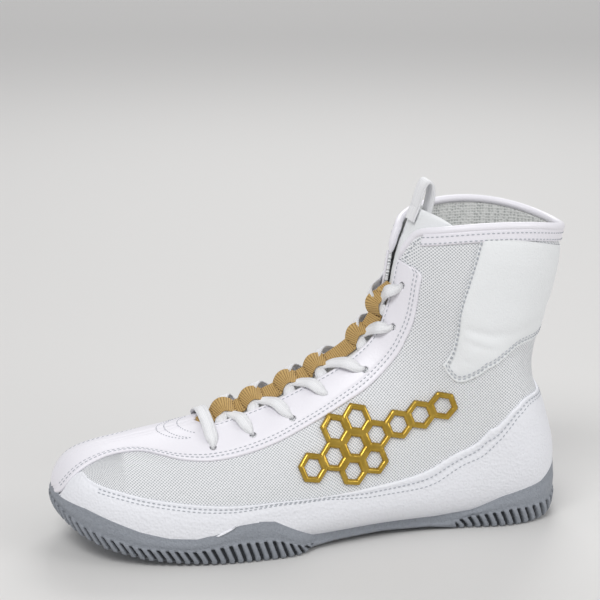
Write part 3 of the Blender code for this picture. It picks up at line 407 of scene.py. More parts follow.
# Full-grain leather with a fine printed grain, finished with a thin coat: a soft, even shine.
def leatherMaterial(name, tint, grainMm, grainDepth, rough):
    made, tree, shader = newMaterial(name, {"Base Color": linear(tint), "Roughness": rough, "IOR": 1.5,
                                            "Coat Weight": 0.12, "Coat Roughness": 0.3})
    where = addNode(tree, "TexCoord", {}, {}, "Object")
    pebble = addNode(tree, "TexVoronoi", {"feature": "SMOOTH_F1"}, {
        "Vector": where, "Scale": 1000.0 / grainMm, "Smoothness": 0.6, "Randomness": 0.9}, "Distance")
    crease = addNode(tree, "TexNoise", {}, {"Vector": where, "Scale": 90.0, "Detail": 3.0}, "Fac")
    crease = addNode(tree, "Math", {"operation": "MULTIPLY"}, {0: crease, 1: 0.35})
    height = addNode(tree, "Math", {"operation": "SUBTRACT"}, {0: pebble, 1: crease})
    feed(tree, shader, {"Normal": addNode(tree, "Bump", {}, {"Height": height, "Distance": grainDepth})})
    return made


smoothLeather = leatherMaterial("smooth_leather", "#f0eef4", 1.1, 0.00008, 0.40)
pebbledLeather = leatherMaterial("pebbled_leather", "#eeeff4", 1.5, 0.00034, 0.50)

# Single-thread mesh: white crossing threads with small grey gaps, 1.25 mm apart on the diagonal.
meshLooks = {"pitch": 0.00125, "thread": "#f6f7f9", "gap": "#a3a9ac"}
meshFabric, tree, shader = newMaterial("mono_mesh", {"Roughness": 0.62, "IOR": 1.5})
where = addNode(tree, "Mapping", {}, {
    "Vector": addNode(tree, "TexCoord", {}, {}, "UV"), "Rotation": (0.0, 0.0, math.radians(45.0))})
dots = addNode(tree, "TexVoronoi", {"feature": "F1"}, {
    "Vector": where, "Scale": 1.0 / meshLooks["pitch"], "Randomness": 0.0}, "Distance")
gap = addNode(tree, "MapRange", smoothStep, {
    "Value": dots, "From Min": 0.14, "From Max": 0.36, "To Min": 1.0, "To Max": 0.0})
height = addNode(tree, "MapRange", smoothStep, {"Value": dots, "From Min": 0.15, "From Max": 0.62})
feed(tree, shader, {
    "Base Color": addNode(tree, "Mix", colourMix, {
        0: gap, 6: linear(meshLooks["thread"]), 7: linear(meshLooks["gap"])}, 2),
    "Normal": addNode(tree, "Bump", {}, {"Height": height, "Distance": 0.00035})})

# Knitted quilt lining: a soft grey-white cloth, matt.
liningFabric, tree, shader = newMaterial("knit_lining", {"Roughness": 0.95, "Sheen Weight": 0.25})
where = addNode(tree, "TexCoord", {}, {}, "Object")
knit = addNode(tree, "TexVoronoi", {"feature": "F1"}, {
    "Vector": where, "Scale": 620.0, "Randomness": 0.35}, "Distance")
stitch = addNode(tree, "MapRange", smoothStep, {"Value": knit, "From Min": 0.1, "From Max": 0.6})
feed(tree, shader, {
    "Base Color": addNode(tree, "Mix", colourMix, {0: stitch, 6: linear("#b9bcba"), 7: linear("#e0e1df")}, 2),
    "Normal": addNode(tree, "Bump", {}, {"Height": knit, "Distance": 0.0006})})

# Brushed microfibre over foam: matt white with a short nap.
paddedFabric, tree, shader = newMaterial("padded_microfibre", {
    "Base Color": linear("#eef0f1"), "Roughness": 0.72, "Sheen Weight": 0.12, "Sheen Roughness": 0.5})
where = addNode(tree, "TexCoord", {}, {}, "Object")
nap = addNode(tree, "TexNoise", {}, {"Vector": where, "Scale": 1100.0, "Detail": 2.0}, "Fac")
soft = addNode(tree, "TexNoise", {}, {"Vector": where, "Scale": 55.0, "Detail": 2.0}, "Fac")
nap = addNode(tree, "Math", {"operation": "MULTIPLY"}, {0: nap, 1: 0.3})
height = addNode(tree, "Math", {"operation": "ADD"}, {0: nap, 1: soft})
feed(tree, shader, {"Normal": addNode(tree, "Bump", {}, {"Height": height, "Distance": 0.0007})})

# Heat-pressed gold film: metallic satin with a slight unevenness from the mesh under it.
goldFilm, tree, shader = newMaterial("gold_film", {"Roughness": 0.30, "Metallic": 0.9})
where = addNode(tree, "TexCoord", {}, {}, "Object")
wave = addNode(tree, "TexNoise", {}, {"Vector": where, "Scale": 160.0, "Detail": 2.0}, "Fac")
feed(tree, shader, {
    "Base Color": addNode(tree, "Mix", colourMix, {0: wave, 6: linear("#a5842c"), 7: linear("#cfae52")}, 2),
    "Normal": addNode(tree, "Bump", {}, {"Height": wave, "Distance": 0.0005})})

# Grosgrain tape: gold polyester yarn, fine ribs across the tape; the darker colour in the grooves between
# them is painted shade, over the yarn's own uneven tone.
webbingRib = 0.00115
goldWebbing, tree, shader = newMaterial("gold_webbing", {
    "Roughness": 0.62, "Sheen Weight": 0.3, "Sheen Roughness": 0.4})
# painted shade: a wave along the tape darkens the colour in the grooves between the ribs
along = addNode(tree, "SeparateXYZ", {}, {"Vector": addNode(tree, "TexCoord", {}, {}, "UV")}, "X")
turns = addNode(tree, "Math", {"operation": "MULTIPLY"}, {0: along, 1: 2.0 * math.pi / webbingRib})
ribShade = addNode(tree, "Math", {"operation": "COSINE"}, {0: turns})
where = addNode(tree, "TexCoord", {}, {}, "Object")
yarn = addNode(tree, "TexNoise", {}, {"Vector": where, "Scale": 1500.0, "Detail": 1.0}, "Fac")
ribShade = addNode(tree, "Math", {"operation": "MULTIPLY"}, {0: ribShade, 1: 0.5})
tone = addNode(tree, "Math", {"operation": "MULTIPLY"}, {0: yarn, 1: 0.9})
shade = addNode(tree, "Math", {"operation": "ADD"}, {0: ribShade, 1: tone})
shade = addNode(tree, "MapRange", smoothStep, {"Value": shade, "From Min": -0.25, "From Max": 0.75})
feed(tree, shader, {
    "Base Color": addNode(tree, "Mix", colourMix, {0: shade, 6: linear("#96743f"), 7: linear("#c9a768")}, 2),
    "Normal": addNode(tree, "Bump", {}, {"Height": yarn, "Distance": 0.0004})})

# Flat polyester lace: lengthwise ribs from the braid, matt with a faint sheen.
whiteLace, tree, shader = newMaterial("flat_lace", {
    "Roughness": 0.72, "Sheen Weight": 0.2, "Sheen Roughness": 0.4})
where = addNode(tree, "Mapping", {}, {
    "Vector": addNode(tree, "TexCoord", {}, {}, "UV"), "Scale": (1.0, 1.6, 1.0)})
braid = addNode(tree, "TexVoronoi", {"feature": "F1"}, {
    "Vector": where, "Scale": 1300.0, "Randomness": 0.2}, "Distance")
shade = addNode(tree, "MapRange", smoothStep, {"Value": braid, "From Min": 0.1, "From Max": 0.7})
height = addNode(tree, "Math", {"operation": "MULTIPLY"}, {0: braid, 1: -1.0})
feed(tree, shader, {
    "Base Color": addNode(tree, "Mix", colourMix, {0: shade, 6: linear("#fbfbfc"), 7: linear("#ebecef")}, 2),
    "Normal": addNode(tree, "Bump", {}, {"Height": height, "Distance": 0.0003})})

# Moulded rubber with a pebbled texture, blasted into the mould: matt blue-grey, with painted shade darkening
# the grooves between the ribs.
greyRubber, tree, shader = newMaterial("moulded_rubber", {"Roughness": 0.58, "IOR": 1.52})
where = addNode(tree, "TexCoord", {}, {}, "Object")
pebble = addNode(tree, "TexVoronoi", {"feature": "SMOOTH_F1"}, {
    "Vector": where, "Scale": 900.0, "Smoothness": 0.4, "Randomness": 1.0}, "Distance")
tone = addNode(tree, "TexNoise", {}, {"Vector": where, "Scale": 500.0, "Detail": 2.0}, "Fac")
# painted shade: the groove attribute mixes a dark grey into the colour between the ribs
deep = addNode(tree, "Attribute", {"attribute_name": "groove"}, {}, "Fac")
face = addNode(tree, "Mix", colourMix, {0: tone, 6: linear("#858a92"), 7: linear("#9a9fa7")}, 2)
feed(tree, shader, {
    "Base Color": addNode(tree, "Mix", colourMix, {0: deep, 6: face, 7: linear("#383b40")}, 2),
    "Normal": addNode(tree, "Bump", {}, {"Height": pebble, "Distance": 0.00030})})

# Sewing thread: bonded polyester, tinted grey partly as its own light grey and partly as painted shade of the
# stitch holes, so that each row reads as dashes.
threadGrey = newMaterial("sewing_thread", {"Base Color": linear("#b4b8be"), "Roughness": 0.6})[0]
threadBrown = newMaterial("brown_thread", {"Base Color": linear("#4a3018"), "Roughness": 0.7})[0]


# Distances clustered near both ends of a width, for rounded edges.
def clustered(count, near=(0.0, 0.00018, 0.00045, 0.0009, 0.0014, 0.0019, 0.0024, 0.003)):
    near = np.array(near)

    def place(q, width):
        index = np.rint(q * count).astype(int)
        index = np.clip(index, 0, count)
        k = len(near)
        tight = near[None, :] * np.minimum(1.0, width[:, None] / 0.0075)
        fromStart = tight[np.arange(len(index)), np.minimum(index, k - 1)]
        fromEnd = width - tight[np.arange(len(index)), np.minimum(count - index, k - 1)]
        last = tight[:, -1]
        middle = last + (width - 2 * last) * (index - (k - 1)) / max(count - 2 * (k - 1), 1)
        return np.where(index < k, fromStart, np.where(index > count - k, fromEnd, middle))

    return place


# Height of a panel's face above the shoe: a rounded edge of radius r.
def roundedEdge(distance, thick, r=0.0009):
    t = np.clip(distance / r, 0.0, 1.0)
    return thick * np.sqrt(np.clip(1.0 - (1.0 - t) ** 2, 0.0, 1.0))


# A soft groove along stitches.
def groove(distance, at, depth, half=0.0007):
    return -depth * np.exp(-((distance - at) / half) ** 2)


print("sock")
upperShoe = {"along": 250, "round": 68, "wall": 0.0016, "tableRows": 160, "tableColumns": 50}
trimStart = 17.0


def collarTrim(a, angle, clear=0.0020):
    edge = surface(np.full_like(a, lastSection), angle)
    rate = np.linalg.norm(edge - surface(np.full_like(a, lastSection - 0.4), angle), axis=-1) / 0.4
    cut = lastSection - clear / rate
    share = np.clip((a - trimStart) / (lastSection - trimStart), 0.0, 1.0)
    return np.where(a > trimStart, trimStart + share * (cut - trimStart), a)


toeCentre, heelCentre = -0.105, 0.100


# Distance from the spine of the shoe, and length round the shoe, for a plan with two round ends.
def farPlan(points):
    x, y = points[..., 0], points[..., 1]
    beyond = np.where(x < toeCentre, x - toeCentre, np.where(x > heelCentre, x - heelCentre, 0.0))
    return np.hypot(beyond, y)


def roundPlan(points):
    x, y = points[..., 0], np.abs(points[..., 1])
    toe = toeCentre - 0.036 * np.arctan2(toeCentre - x, np.maximum(y, 1e-5))
    heel = heelCentre + 0.030 * np.arctan2(x - heelCentre, np.maximum(y, 1e-5))
    return np.where(x < toeCentre, toe, np.where(x > heelCentre, heel, x))


def sockMapping(side):
    aRun = np.concatenate([np.linspace(0.0, 1.0, 30) ** 1.3, np.linspace(1.0, lastSection, 900)[1:]])
    middle = surface(aRun, np.where(aRun < 1.0, 90.0, 95.0) * side)
    run = arcLengths(middle)
    # Height up the wall, measured along the cloth, so that the mesh keeps its size on slopes.
    countRows, countColumns = upperShoe["tableRows"], upperShoe["tableColumns"]
    shares = np.linspace(0.0, 1.0, countRows)
    gridA = np.repeat(np.interp(shares * run[-1], run, aRun)[:, None], countColumns, axis=1)
    feather = bedAngle(gridA[:, 0], side, fitGap)[:, None]
    edge = throatAngle(gridA[:, 0], side)[:, None]
    angles = feather + (edge - feather) * np.linspace(0.0, 1.0, countColumns)[None, :]
    spots = surface(gridA, side * angles)
    inward = farPlan(spots)
    steps = np.sqrt(np.diff(spots[:, :, 2], axis=1) ** 2 + np.diff(inward, axis=1) ** 2)
    rise = np.concatenate([spots[:, :1, 2], spots[:, :1, 2] + np.cumsum(steps, axis=1)], axis=1)

    def mapping(p, q):
        along = p * run[-1]
        a = np.interp(along, run, aRun)
        feather = bedAngle(a, side, fitGap)
        edge = throatAngle(a, side)
        angle = feather + (edge - feather) * q
        at = collarTrim(a, side * angle)
        points = surface(at, side * angle)
        rows = np.interp(p, shares, np.arange(len(shares)))
        low = np.minimum(rows.astype(int), len(shares) - 2)
        part = rows - low
        columns = q * (rise.shape[1] - 1)
        left = np.minimum(columns.astype(int), rise.shape[1] - 2)
        over = columns - left
        level = ((rise[low, left] * (1 - over) + rise[low, left + 1] * over) * (1 - part)
                 + (rise[low + 1, left] * (1 - over) + rise[low + 1, left + 1] * over) * part)
        # the steep walls of the heel and shaft simply take their height
        steep = np.clip((points[:, 0] + 0.030) / 0.060, 0.0, 1.0)
        steep = steep * steep * (3.0 - 2.0 * steep)
        return points, np.stack([roundPlan(points), level * (1.0 - steep) + points[:, 2] * steep], axis=1)

    return mapping


bm = bmesh.new()
for side in (1, -1):
    layGrid(bm, upperShoe["along"], upperShoe["round"], sockMapping(side), flip=side < 0)
sock = finishPiece("mesh_upper", bm, [meshFabric, liningFabric], ("upper",), weld=0.00003,
                   thickness=upperShoe["wall"])
sock.modifiers["wall"].material_offset = 1
sock.modifiers["wall"].use_rim = True


print("sole")
# Shares of the length between which the sole has no ribs.
archStart, archEnd = 0.475, 0.765
soleLooks = {"columns": 900, "skin": 0.00045, "ledge": 0.0013, "ribPitch": 0.0047, "ribDepth": 0.0023,
             "ribLean": -0.0036}


def wallLevel(partWay):
    def level(fromToe, side):
        floor = bedHeight(fromToe)
        return floor + (rimHeight(fromToe, side) - floor) * partWay
    return level


def overLevel(point, level, side):
    return point[..., 2] - level(point[..., 0] + shoeLength / 2.0, side)


knownEnds = {}


# First and last section number that a level of the sole reaches, and whether it closes below the toe's tip.
def levelEnds(level, side):
    if (level, side) in knownEnds:
        return knownEnds[(level, side)]
    pole = surface(np.array(0.0), np.array(0.0))
    buried = bool(overLevel(pole, level, side) < 0)
    ends = []
    for low, high, angle, rising in (
        (0.0, 2.2, 180.0 if buried else 0.0, buried),
        (11.6, 17.0, 0.0, True),
    ):
        for _ in range(50):
            middle = 0.5 * (low + high)
            over = bool(overLevel(surface(np.array(middle), np.array(angle)), level, side) > 0)
            if over == rising:
                high = middle
            else:
                low = middle
        ends.append(0.5 * (low + high))
    knownEnds[(level, side)] = (ends[0], ends[1], buried)
    return knownEnds[(level, side)]


rimLevel = wallLevel(1.0)
# Section numbers beyond which each level draws in towards its own end.
toeBlend, heelBlend = 2.0, 10.0


# Section numbers and angles along one level of the sole, at shares of the way from toe to heel.
def ringPoints(level, share, side):
    share = np.asarray(share, float)
    first, final, buried = levelEnds(level, side)
    rimFirst, rimFinal, _ = levelEnds(rimLevel, side)
    a = rimFirst + (rimFinal - rimFirst) * share
    front = first + (a - rimFirst) * (toeBlend - first) / (toeBlend - rimFirst)
    back = heelBlend + (a - heelBlend) * (final - heelBlend) / (rimFinal - heelBlend)
    a = np.where(a < toeBlend, front, np.where(a > heelBlend, back, a))
    angle = angleWhere(a, side, lambda point: overLevel(point, level, side))
    angle = np.where(share <= 0.0, 180.0 if buried else 0.0, angle)
    return a, np.where(share >= 1.0, 0.0, angle)


def rimLine(share, side):
    a, angle = ringPoints(rimLevel, share, side)
    return surface(a, side * angle)


fineShares = np.linspace(0.0, 1.0, 900)
bothSides = 0.5 * (rimLine(fineShares, 1) * [1, 1, 0] + rimLine(fineShares, -1) * [1, -1, 0])
rimRun = arcLengths(bothSides)
forefootRun = float(np.interp(archStart * shoeLength, bothSides[:, 0] + shoeLength / 2.0, rimRun))
heelRun = float(np.interp(archEnd * shoeLength, bothSides[:, 0] + shoeLength / 2.0, rimRun))
insideLevels = [wallLevel(part) for part in (0.0, 0.12, 0.45)] + [rimLevel]


# Points in the rib grooves and how deep in them they lie, for the painted shade there.
grooveShadeSpots = []


def noteGrooveShade(points, depths):
    grooveShadeSpots.extend((tuple(point), float(depth)) for point, depth in zip(points - frameShift, depths))


def soleMapping(side):
    columns = soleLooks["columns"]
    shares = np.interp(np.linspace(0.0, rimRun[-1], columns + 1), rimRun, fineShares)
    shares[0] = 0.0
    shares[-1] = 1.0
    runs = np.linspace(0.0, rimRun[-1], columns + 1)
    rimPoint = rimLine(shares, side)
    fromToe = rimPoint[:, 0] + shoeLength / 2.0
    rim = rimHeight(fromToe, side)
    ground = groundHeight(fromToe, side)
    rib = np.minimum(0.001 * blendTable(ribCurve, fromToe / shoeLength), 0.62 * (rim - ground))
    a, angle = ringPoints(rimLevel, shares, side)
    out = normal(a, side * angle).copy()
    out[:, 2] = 0.0
    out[0] = [-1.0, 0.0, 0.0]
    out[-1] = [1.0, 0.0, 0.0]
    out /= np.linalg.norm(out, axis=1)[:, None]
    arch = np.interp(fromToe / shoeLength, [0.44, 0.50, 0.72, 0.80], [0.0, 1.0, 1.0, 0.0])
    ledge = soleLooks["ledge"]
    rows = []
    for level in insideLevels:
        la, langle = ringPoints(level, shares, side)
        rows.append(raised(la, side * langle, soleLooks["skin"]))

    def put(height, push):
        point = rimPoint + out * push[:, None]
        point[:, 2] = height
        return point

    one = np.ones_like(rim)
    ribTop = ground + rib
    ribLow = ground + np.minimum(0.0018, 0.4 * rib)
    rows[-1] = put(rim - 0.0002, soleLooks["skin"] * one)
    rows.append(put(rim + 0.0001, 0.00075 * one))
    rows.append(put(rim - 0.0001, (ledge - 0.0002) * one))
    rows.append(put(rim - 0.0007, (ledge + 0.0002) * one))
    middle = ribTop + 0.45 * (rim - ribTop)
    for part in (0.0, 0.35, 0.7):
        height = middle + (rim - 0.0012 - middle) * (1 - part)
        rows.append(put(height, ledge + 0.0002 + 0.0008 * (1 - arch) * part))
    rows.append(put(middle, ledge + 0.0009 * (1 - arch) + 0.0001))
    rows.append(put(ribTop + 0.45 * (middle - ribTop), ledge + 0.0007 * (1 - arch)))
    rows.append(put(ribTop + 0.0007, ledge + 0.0003 * (1 - arch)))
    ribShares = (1.0, 0.93, 0.82, 0.66, 0.5, 0.34, 0.18, 0.06)
    ribbedRun = np.clip((forefootRun - runs) / 0.002, 0, 1) + np.clip((runs - heelRun) / 0.002, 0, 1)
    for part in ribShares:
        height = ribLow + (ribTop - ribLow) * part
        phase = runs / soleLooks["ribPitch"] - soleLooks["ribLean"] * (part - 0.5) / soleLooks["ribPitch"]
        wave = np.abs((phase % 1.0) - 0.5) * 2.0
        cut = np.clip((0.50 - wave) / 0.20, 0.0, 1.0)
        cut = cut * cut * (3 - 2 * cut)
        bulge = 0.0003 * math.sin(math.pi * part)
        edge = 1.0 if part < 0.98 else 0.25
        push = ledge + (0.0014 * part + 0.0002 * (1 - part)) * (1 - arch) + bulge
        rows.append(put(height, push - soleLooks["ribDepth"] * cut * ribbedRun * edge))
        noteGrooveShade(rows[-1], cut * ribbedRun * edge)
    under = ribbedRun * cut
    rows.append(put(ground + 0.0006 + 0.0011 * under, ledge - 0.0006 * (1 - 0.2 * arch) - 0.0012 * under))
    rows.append(put(ground + 0.0001 + 0.0014 * under, ledge - 0.0016 - 0.0006 * (1 - arch)))
    for row in rows[-2:]:
        noteGrooveShade(row, under)
    rows.append(put(ground, ledge - 0.0026 - 0.0008 * (1 - arch)))
    edgePoint = rows[-1]
    otherGround = groundHeight(fromToe, -side)
    middleY = (0.5 * (rimLine(shares, 1) + rimLine(shares, -1)))[:, 1]
    for part in (0.25, 0.5, 0.75, 1.0):
        point = edgePoint.copy()
        point[:, 1] = edgePoint[:, 1] + (middleY - edgePoint[:, 1]) * part
        point[:, 2] = ground + (0.5 * (ground + otherGround) - ground) * part
        rows.append(point)
    # the floor of the sole, from the middle line out to the wall
    floorRows = []
    for part in (0.0, 0.5):
        point = rows[0].copy()
        point[:, 1] = middleY + (rows[0][:, 1] - middleY) * part
        floorRows.append(point)
    net = np.array(floorRows + rows)
    across = np.concatenate([[0.0], np.cumsum(np.linalg.norm(np.diff(net[:, columns // 3], axis=0), axis=1))])

    def mapping(p, q):
        j = np.clip(np.rint(p * columns).astype(int), 0, columns)
        i = np.clip(np.rint(q * (len(net) - 1)).astype(int), 0, len(net) - 1)
        return net[i, j], np.stack([runs[j], across[i]], axis=1)

    return mapping, len(net) - 1


bm = bmesh.new()
for side in (1, -1):
    mapping, rowCount = soleMapping(side)
    layGrid(bm, soleLooks["columns"], rowCount, mapping, flip=side > 0)
outsole = finishPiece("rubber_sole", bm, greyRubber, ("outsole",), weld=0.00002)
# How deep each point lies in a groove, for the painted shade between the ribs.
grooveShadeShare = outsole.data.attributes.new("groove", "FLOAT", "POINT")
tree = KDTree(len(grooveShadeSpots))
for index, (spot, depth) in enumerate(grooveShadeSpots):
    tree.insert(spot, index)
tree.balance()
depths = np.zeros(len(outsole.data.vertices))
for vertex in outsole.data.vertices:
    found = tree.find(vertex.co)
    depths[vertex.index] = grooveShadeSpots[found[1]][1] if found[2] < 0.0004 else 0.0
grooveShadeShare.data.foreach_set("value", depths)


print("panels")


lineCount = 400
panelSink = 0.0009


def lineAt(points):
    return smoothAt(points, np.linspace(0.0, 1.0, lineCount))


# The width of a panel, measured over the surface, at each point of its two outlines.
def widthBetween(lowLine, highLine, side):
    wide = np.zeros(len(lowLine))
    previous = surface(lowLine[:, 0], side * lowLine[:, 1])
    for part in np.linspace(0.0, 1.0, 9)[1:]:
        line = lowLine * (1 - part) + highLine * part
        here = surface(line[:, 0], side * line[:, 1])
        wide += np.linalg.norm(here - previous, axis=1)
        previous = here
    return wide


# How far a panel's cut lines bow outward near its start, degrees.
def bowed(bow, part, t):
    return bow * 4.0 * part * (1.0 - part) * np.clip(1.0 - 3.0 * t, 0.0, 1.0)


# A panel between two outlines, laid on the shoe with rounded edges and stitch grooves.
def panelPiece(name, parts, material, nodes, heightAt, across, along, startEdge=False, bow=0.0):
    bm = bmesh.new()
    for lowLine, highLine, side in parts:
        middle = 0.5 * (surface(lowLine[:, 0], side * lowLine[:, 1])
                        + surface(highLine[:, 0], side * highLine[:, 1]))
        run = arcLengths(middle)
        wide = widthBetween(lowLine, highLine, side)

        def mapping(p, q, lowLine=lowLine, highLine=highLine, run=run, wide=wide, side=side):
            flat = clustered(along)(p, np.full_like(p, run[-1])) if startEdge else p * run[-1]
            spots = np.linspace(0, 1, len(run))
            t = np.interp(flat / run[-1], run / run[-1], spots)
            width = np.interp(t, spots, wide)
            distance = clustered(across)(q, width)
            part = distance / width
            line = (readLine(t, spots, lowLine) * (1 - part)[:, None]
                    + readLine(t, spots, highLine) * part[:, None])
            a = line[:, 0]
            angle = np.clip(line[:, 1] - bowed(bow, part, t), 0.0, 180.0)
            edge = {"low": distance, "high": width - distance, "start": flat, "a": a, "angle": angle}
            return raised(a, side * angle, heightAt(edge)), np.stack([flat, distance], axis=1)

        layGrid(bm, along, across, mapping, flip=side < 0)
    return finishPiece(name, bm, material, nodes, weld=0.00003, thickness=panelSink)


stripLooks = {"thick": 0.0013, "rows": (0.0026, 0.0044), "innerRow": 0.0022, "stitchHeight": 0.00118}
eyeletLooks = {"radius": 0.0019, "deep": 0.012}


# Punches a round hole through a piece at each eyelet.
def punchEyelets(piece):
    bm = bmesh.new()
    for a, angle in eyelets:
        for side in (1, -1):
            spot = surface(a, side * angle) - frameShift
            out = Vector(normal(a, side * angle))
            turn = out.to_track_quat("Z", "Y").to_matrix().to_4x4()
            turn.translation = Vector(spot)
            bmesh.ops.create_cone(bm, cap_ends=True, segments=20, radius1=eyeletLooks["radius"],
                                  radius2=eyeletLooks["radius"], depth=eyeletLooks["deep"], matrix=turn)
    mesh = bpy.data.meshes.new("pins")
    bm.to_mesh(mesh)
    bm.free()
    pins = addObject("pins", mesh)
    step = piece.modifiers.new("eyelets", "BOOLEAN")
    step.operation = "DIFFERENCE"
    step.solver = "FAST"
    step.object = pins
    bpy.context.view_layer.update()
    graph = bpy.context.evaluated_depsgraph_get()
    cut = bpy.data.meshes.new_from_object(piece.evaluated_get(graph))
    piece.modifiers.clear()
    piece.data = cut
    bpy.data.objects.remove(pins, do_unlink=True)


stripParts = []
for side in (1, -1):
    outerLine = lineAt(stripOuter)
    innerA = lineAt(stripInner)[:, 0]
    innerLine = np.stack([innerA, throatAngle(innerA, side)], axis=1)
    stripParts.append((outerLine, innerLine, side))


def stripHeight(edge):
    height = roundedEdge(edge["low"], stripLooks["thick"])
    height += groove(edge["low"], 0.0026, 0.00035) + groove(edge["low"], 0.0046, 0.00035)
    isOpen = edge["angle"] < 179.0
    inner = np.where(isOpen, roundedEdge(edge["high"], stripLooks["thick"], 0.0007), stripLooks["thick"])
    height = np.minimum(height, inner)
    return height + np.where(isOpen, groove(edge["high"], stripLooks["innerRow"], 0.0003), 0.0) + 0.0001


eyestay = panelPiece("eyestay_leather", stripParts, smoothLeather, ("eyestay",),
                     stripHeight, across=36, along=320)
punchEyelets(eyestay)

randLooks = {"thick": 0.0013, "rows": (0.0022, 0.0040), "stitchHeight": 0.00150}
randParts = []
rimBack = levelEnds(rimLevel, 1)[1] + 0.1
for side in (1, -1):
    topLine = lineAt(randTop)
    footA = lineAt(randFoot + [rimBack])[:, 0]
    footLine = np.stack([footA, rimAngle(footA, side, -0.0025)], axis=1)
    footLine[-1, 1] = 0.0
    randParts.append((footLine, topLine, side))


def randHeight(edge):
    height = roundedEdge(edge["high"], randLooks["thick"])
    height += groove(edge["high"], 0.0022, 0.0003)
    bulge = 0.0004 * np.clip(edge["low"] / 0.02, 0, 1) * np.clip(edge["high"] / 0.01, 0, 1)
    return height * np.clip(edge["low"] / 0.001, 0.2, 1.0) + bulge


panelPiece("rand_leather", randParts, pebbledLeather, ("rand",), randHeight,
           across=44, along=420)

ankleLooks = {"thick": 0.0010, "swell": 0.0010, "rows": (0.0024, 0.0042), "bow": 5.0, "stitchHeight": 0.00115}


def ankleHeight(edge):
    outline = np.minimum(edge["low"], edge["start"])
    inside = np.minimum(outline, edge["high"] + 0.003)
    height = roundedEdge(outline, ankleLooks["thick"])
    height += ankleLooks["swell"] * np.clip((inside - 0.004) / 0.012, 0.0, 1.0) ** 0.6
    # two soft folds that run down towards the heel
    slant = edge["a"] + edge["angle"] * 0.022
    fade = np.clip((inside - 0.006) / 0.012, 0.0, 1.0)
    for at, deep, wide in ((17.75, 0.0007, 0.16), (17.25, 0.0005, 0.13), (16.55, 0.0004, 0.12)):
        height -= deep * fade * np.exp(-((slant - at) / wide) ** 2)
    return height + groove(outline, ankleLooks["rows"][0], 0.0005)


for side, name in ((1, "ankle_panel_outer"), (-1, "ankle_panel_inner")):
    part = (lineAt(ankleLow), lineAt(ankleHigh), side)
    panel = panelPiece(name.replace("_panel", "_padding"), [part], paddedFabric, (name,),
                       ankleHeight, across=90, along=90, startEdge=True, bow=ankleLooks["bow"])


# A ribbon or cord: a section carried along a path. shape(at, q, whole) gives across and up, metres; at is the
# length along the path, whole its full length and q the share of the way round the section.
def sweepGrid(bm, path, wideWay, countAlong, countRound, shape):
    run = arcLengths(path)
    tangent = unit(np.gradient(path, axis=0))
    wide = np.broadcast_to(np.asarray(wideWay, float), path.shape)
    wide = unit(wide - tangent * np.sum(wide * tangent, axis=1)[:, None])
    up = np.cross(tangent, wide)

    def mapping(p, q):
        at = p * run[-1]
        across, rise = shape(at, q, run[-1])
        shut = np.where((p < 1e-6) | (p > 1 - 1e-6), 0.0, 1.0)
        points = (readLine(at, run, path) + readLine(at, run, wide) * (across * shut)[:, None]
                  + readLine(at, run, up) * (rise * shut)[:, None])
        return points, np.stack([at, q * 0.02], axis=1)

    return layGrid(bm, countAlong, countRound, mapping, flip=True)


# Flat tape section: superellipse with fine lengthwise ribs.
def tapeSection(width, thick, ribs=0, ribDeep=0.0, power=4.0):
    def shape(at, q, whole):
        turn = 2.0 * np.pi * q
        c, s = np.cos(turn), np.sin(turn)
        across = np.sign(c) * np.abs(c) ** (2.0 / power) * width / 2.0
        rise = np.sign(s) * np.abs(s) ** (2.0 / power) * thick / 2.0
        if ribs:
            wave = np.cos(2.0 * np.pi * ribs * (across / width + 0.5))
            rise = rise + np.sign(s) * ribDeep * wave * np.clip(np.abs(s) * 3.0 - 0.6, 0.0, 1.0)
        return across, rise
    return shape


print("collar")
bindingLooks = {"radius": 0.0022, "lowEnd": 16.75, "steps": 520}
# The roll follows the front edge of each flap up, turns the corner and runs round the collar.
bindA = []
bindAngle = []
for side in (1, -1):
    upA = np.linspace(bindingLooks["lowEnd"], lastSection - 0.42, 50)
    upAngle = throatAngle(upA, side, -0.0006)
    topEdge = float(throatAngle(lastSection, side))
    turnShare = np.linspace(0.0, 1.0, 16)[1:-1]
    turnA = lastSection - 0.42 + 0.40 * np.sin(turnShare * math.pi / 2.0)
    turnAngle = upAngle[-1] + (topEdge - 9.0 - upAngle[-1]) * (1.0 - np.cos(turnShare * math.pi / 2.0))
    roundAngle = np.linspace(topEdge - 9.0, 0.0, 130)
    a = np.concatenate([upA, turnA, np.full(130, lastSection - 0.02)])
    angle = side * np.concatenate([upAngle, turnAngle, roundAngle])
    if side > 0:
        bindA.append(a)
        bindAngle.append(angle)
    else:
        bindA.append(a[::-1][1:])
        bindAngle.append(angle[::-1][1:])
bindA = np.concatenate(bindA)
bindAngle = np.concatenate(bindAngle)
bindPath = raised(bindA, bindAngle, -0.0008)
bindOut = normal(bindA, bindAngle)
bindRun = arcLengths(bindPath)
bindAt = np.linspace(0.0, 1.0, bindingLooks["steps"]) * bindRun[-1]
bindPath, bindOut = readLine(bindAt, bindRun, bindPath), readLine(bindAt, bindRun, bindOut)
soften(bindPath, 6)


def bindShape(at, q, whole):
    radius = bindingLooks["radius"] * np.clip(np.minimum(at, whole - at) / 0.006, 0.0, 1.0) ** 0.5
    turn = 2.0 * np.pi * q
    return radius * np.cos(turn), radius * np.sin(turn)


bm = bmesh.new()
sweepGrid(bm, bindPath, bindOut, bindingLooks["steps"], 20, bindShape)
finishPiece("collar_roll", bm, smoothLeather, ("collar_binding",))

# Pale band sewn on under the roll, all the way round.
bandLooks = {"thick": 0.0008, "top": 0.0018, "bottom": 0.0086}


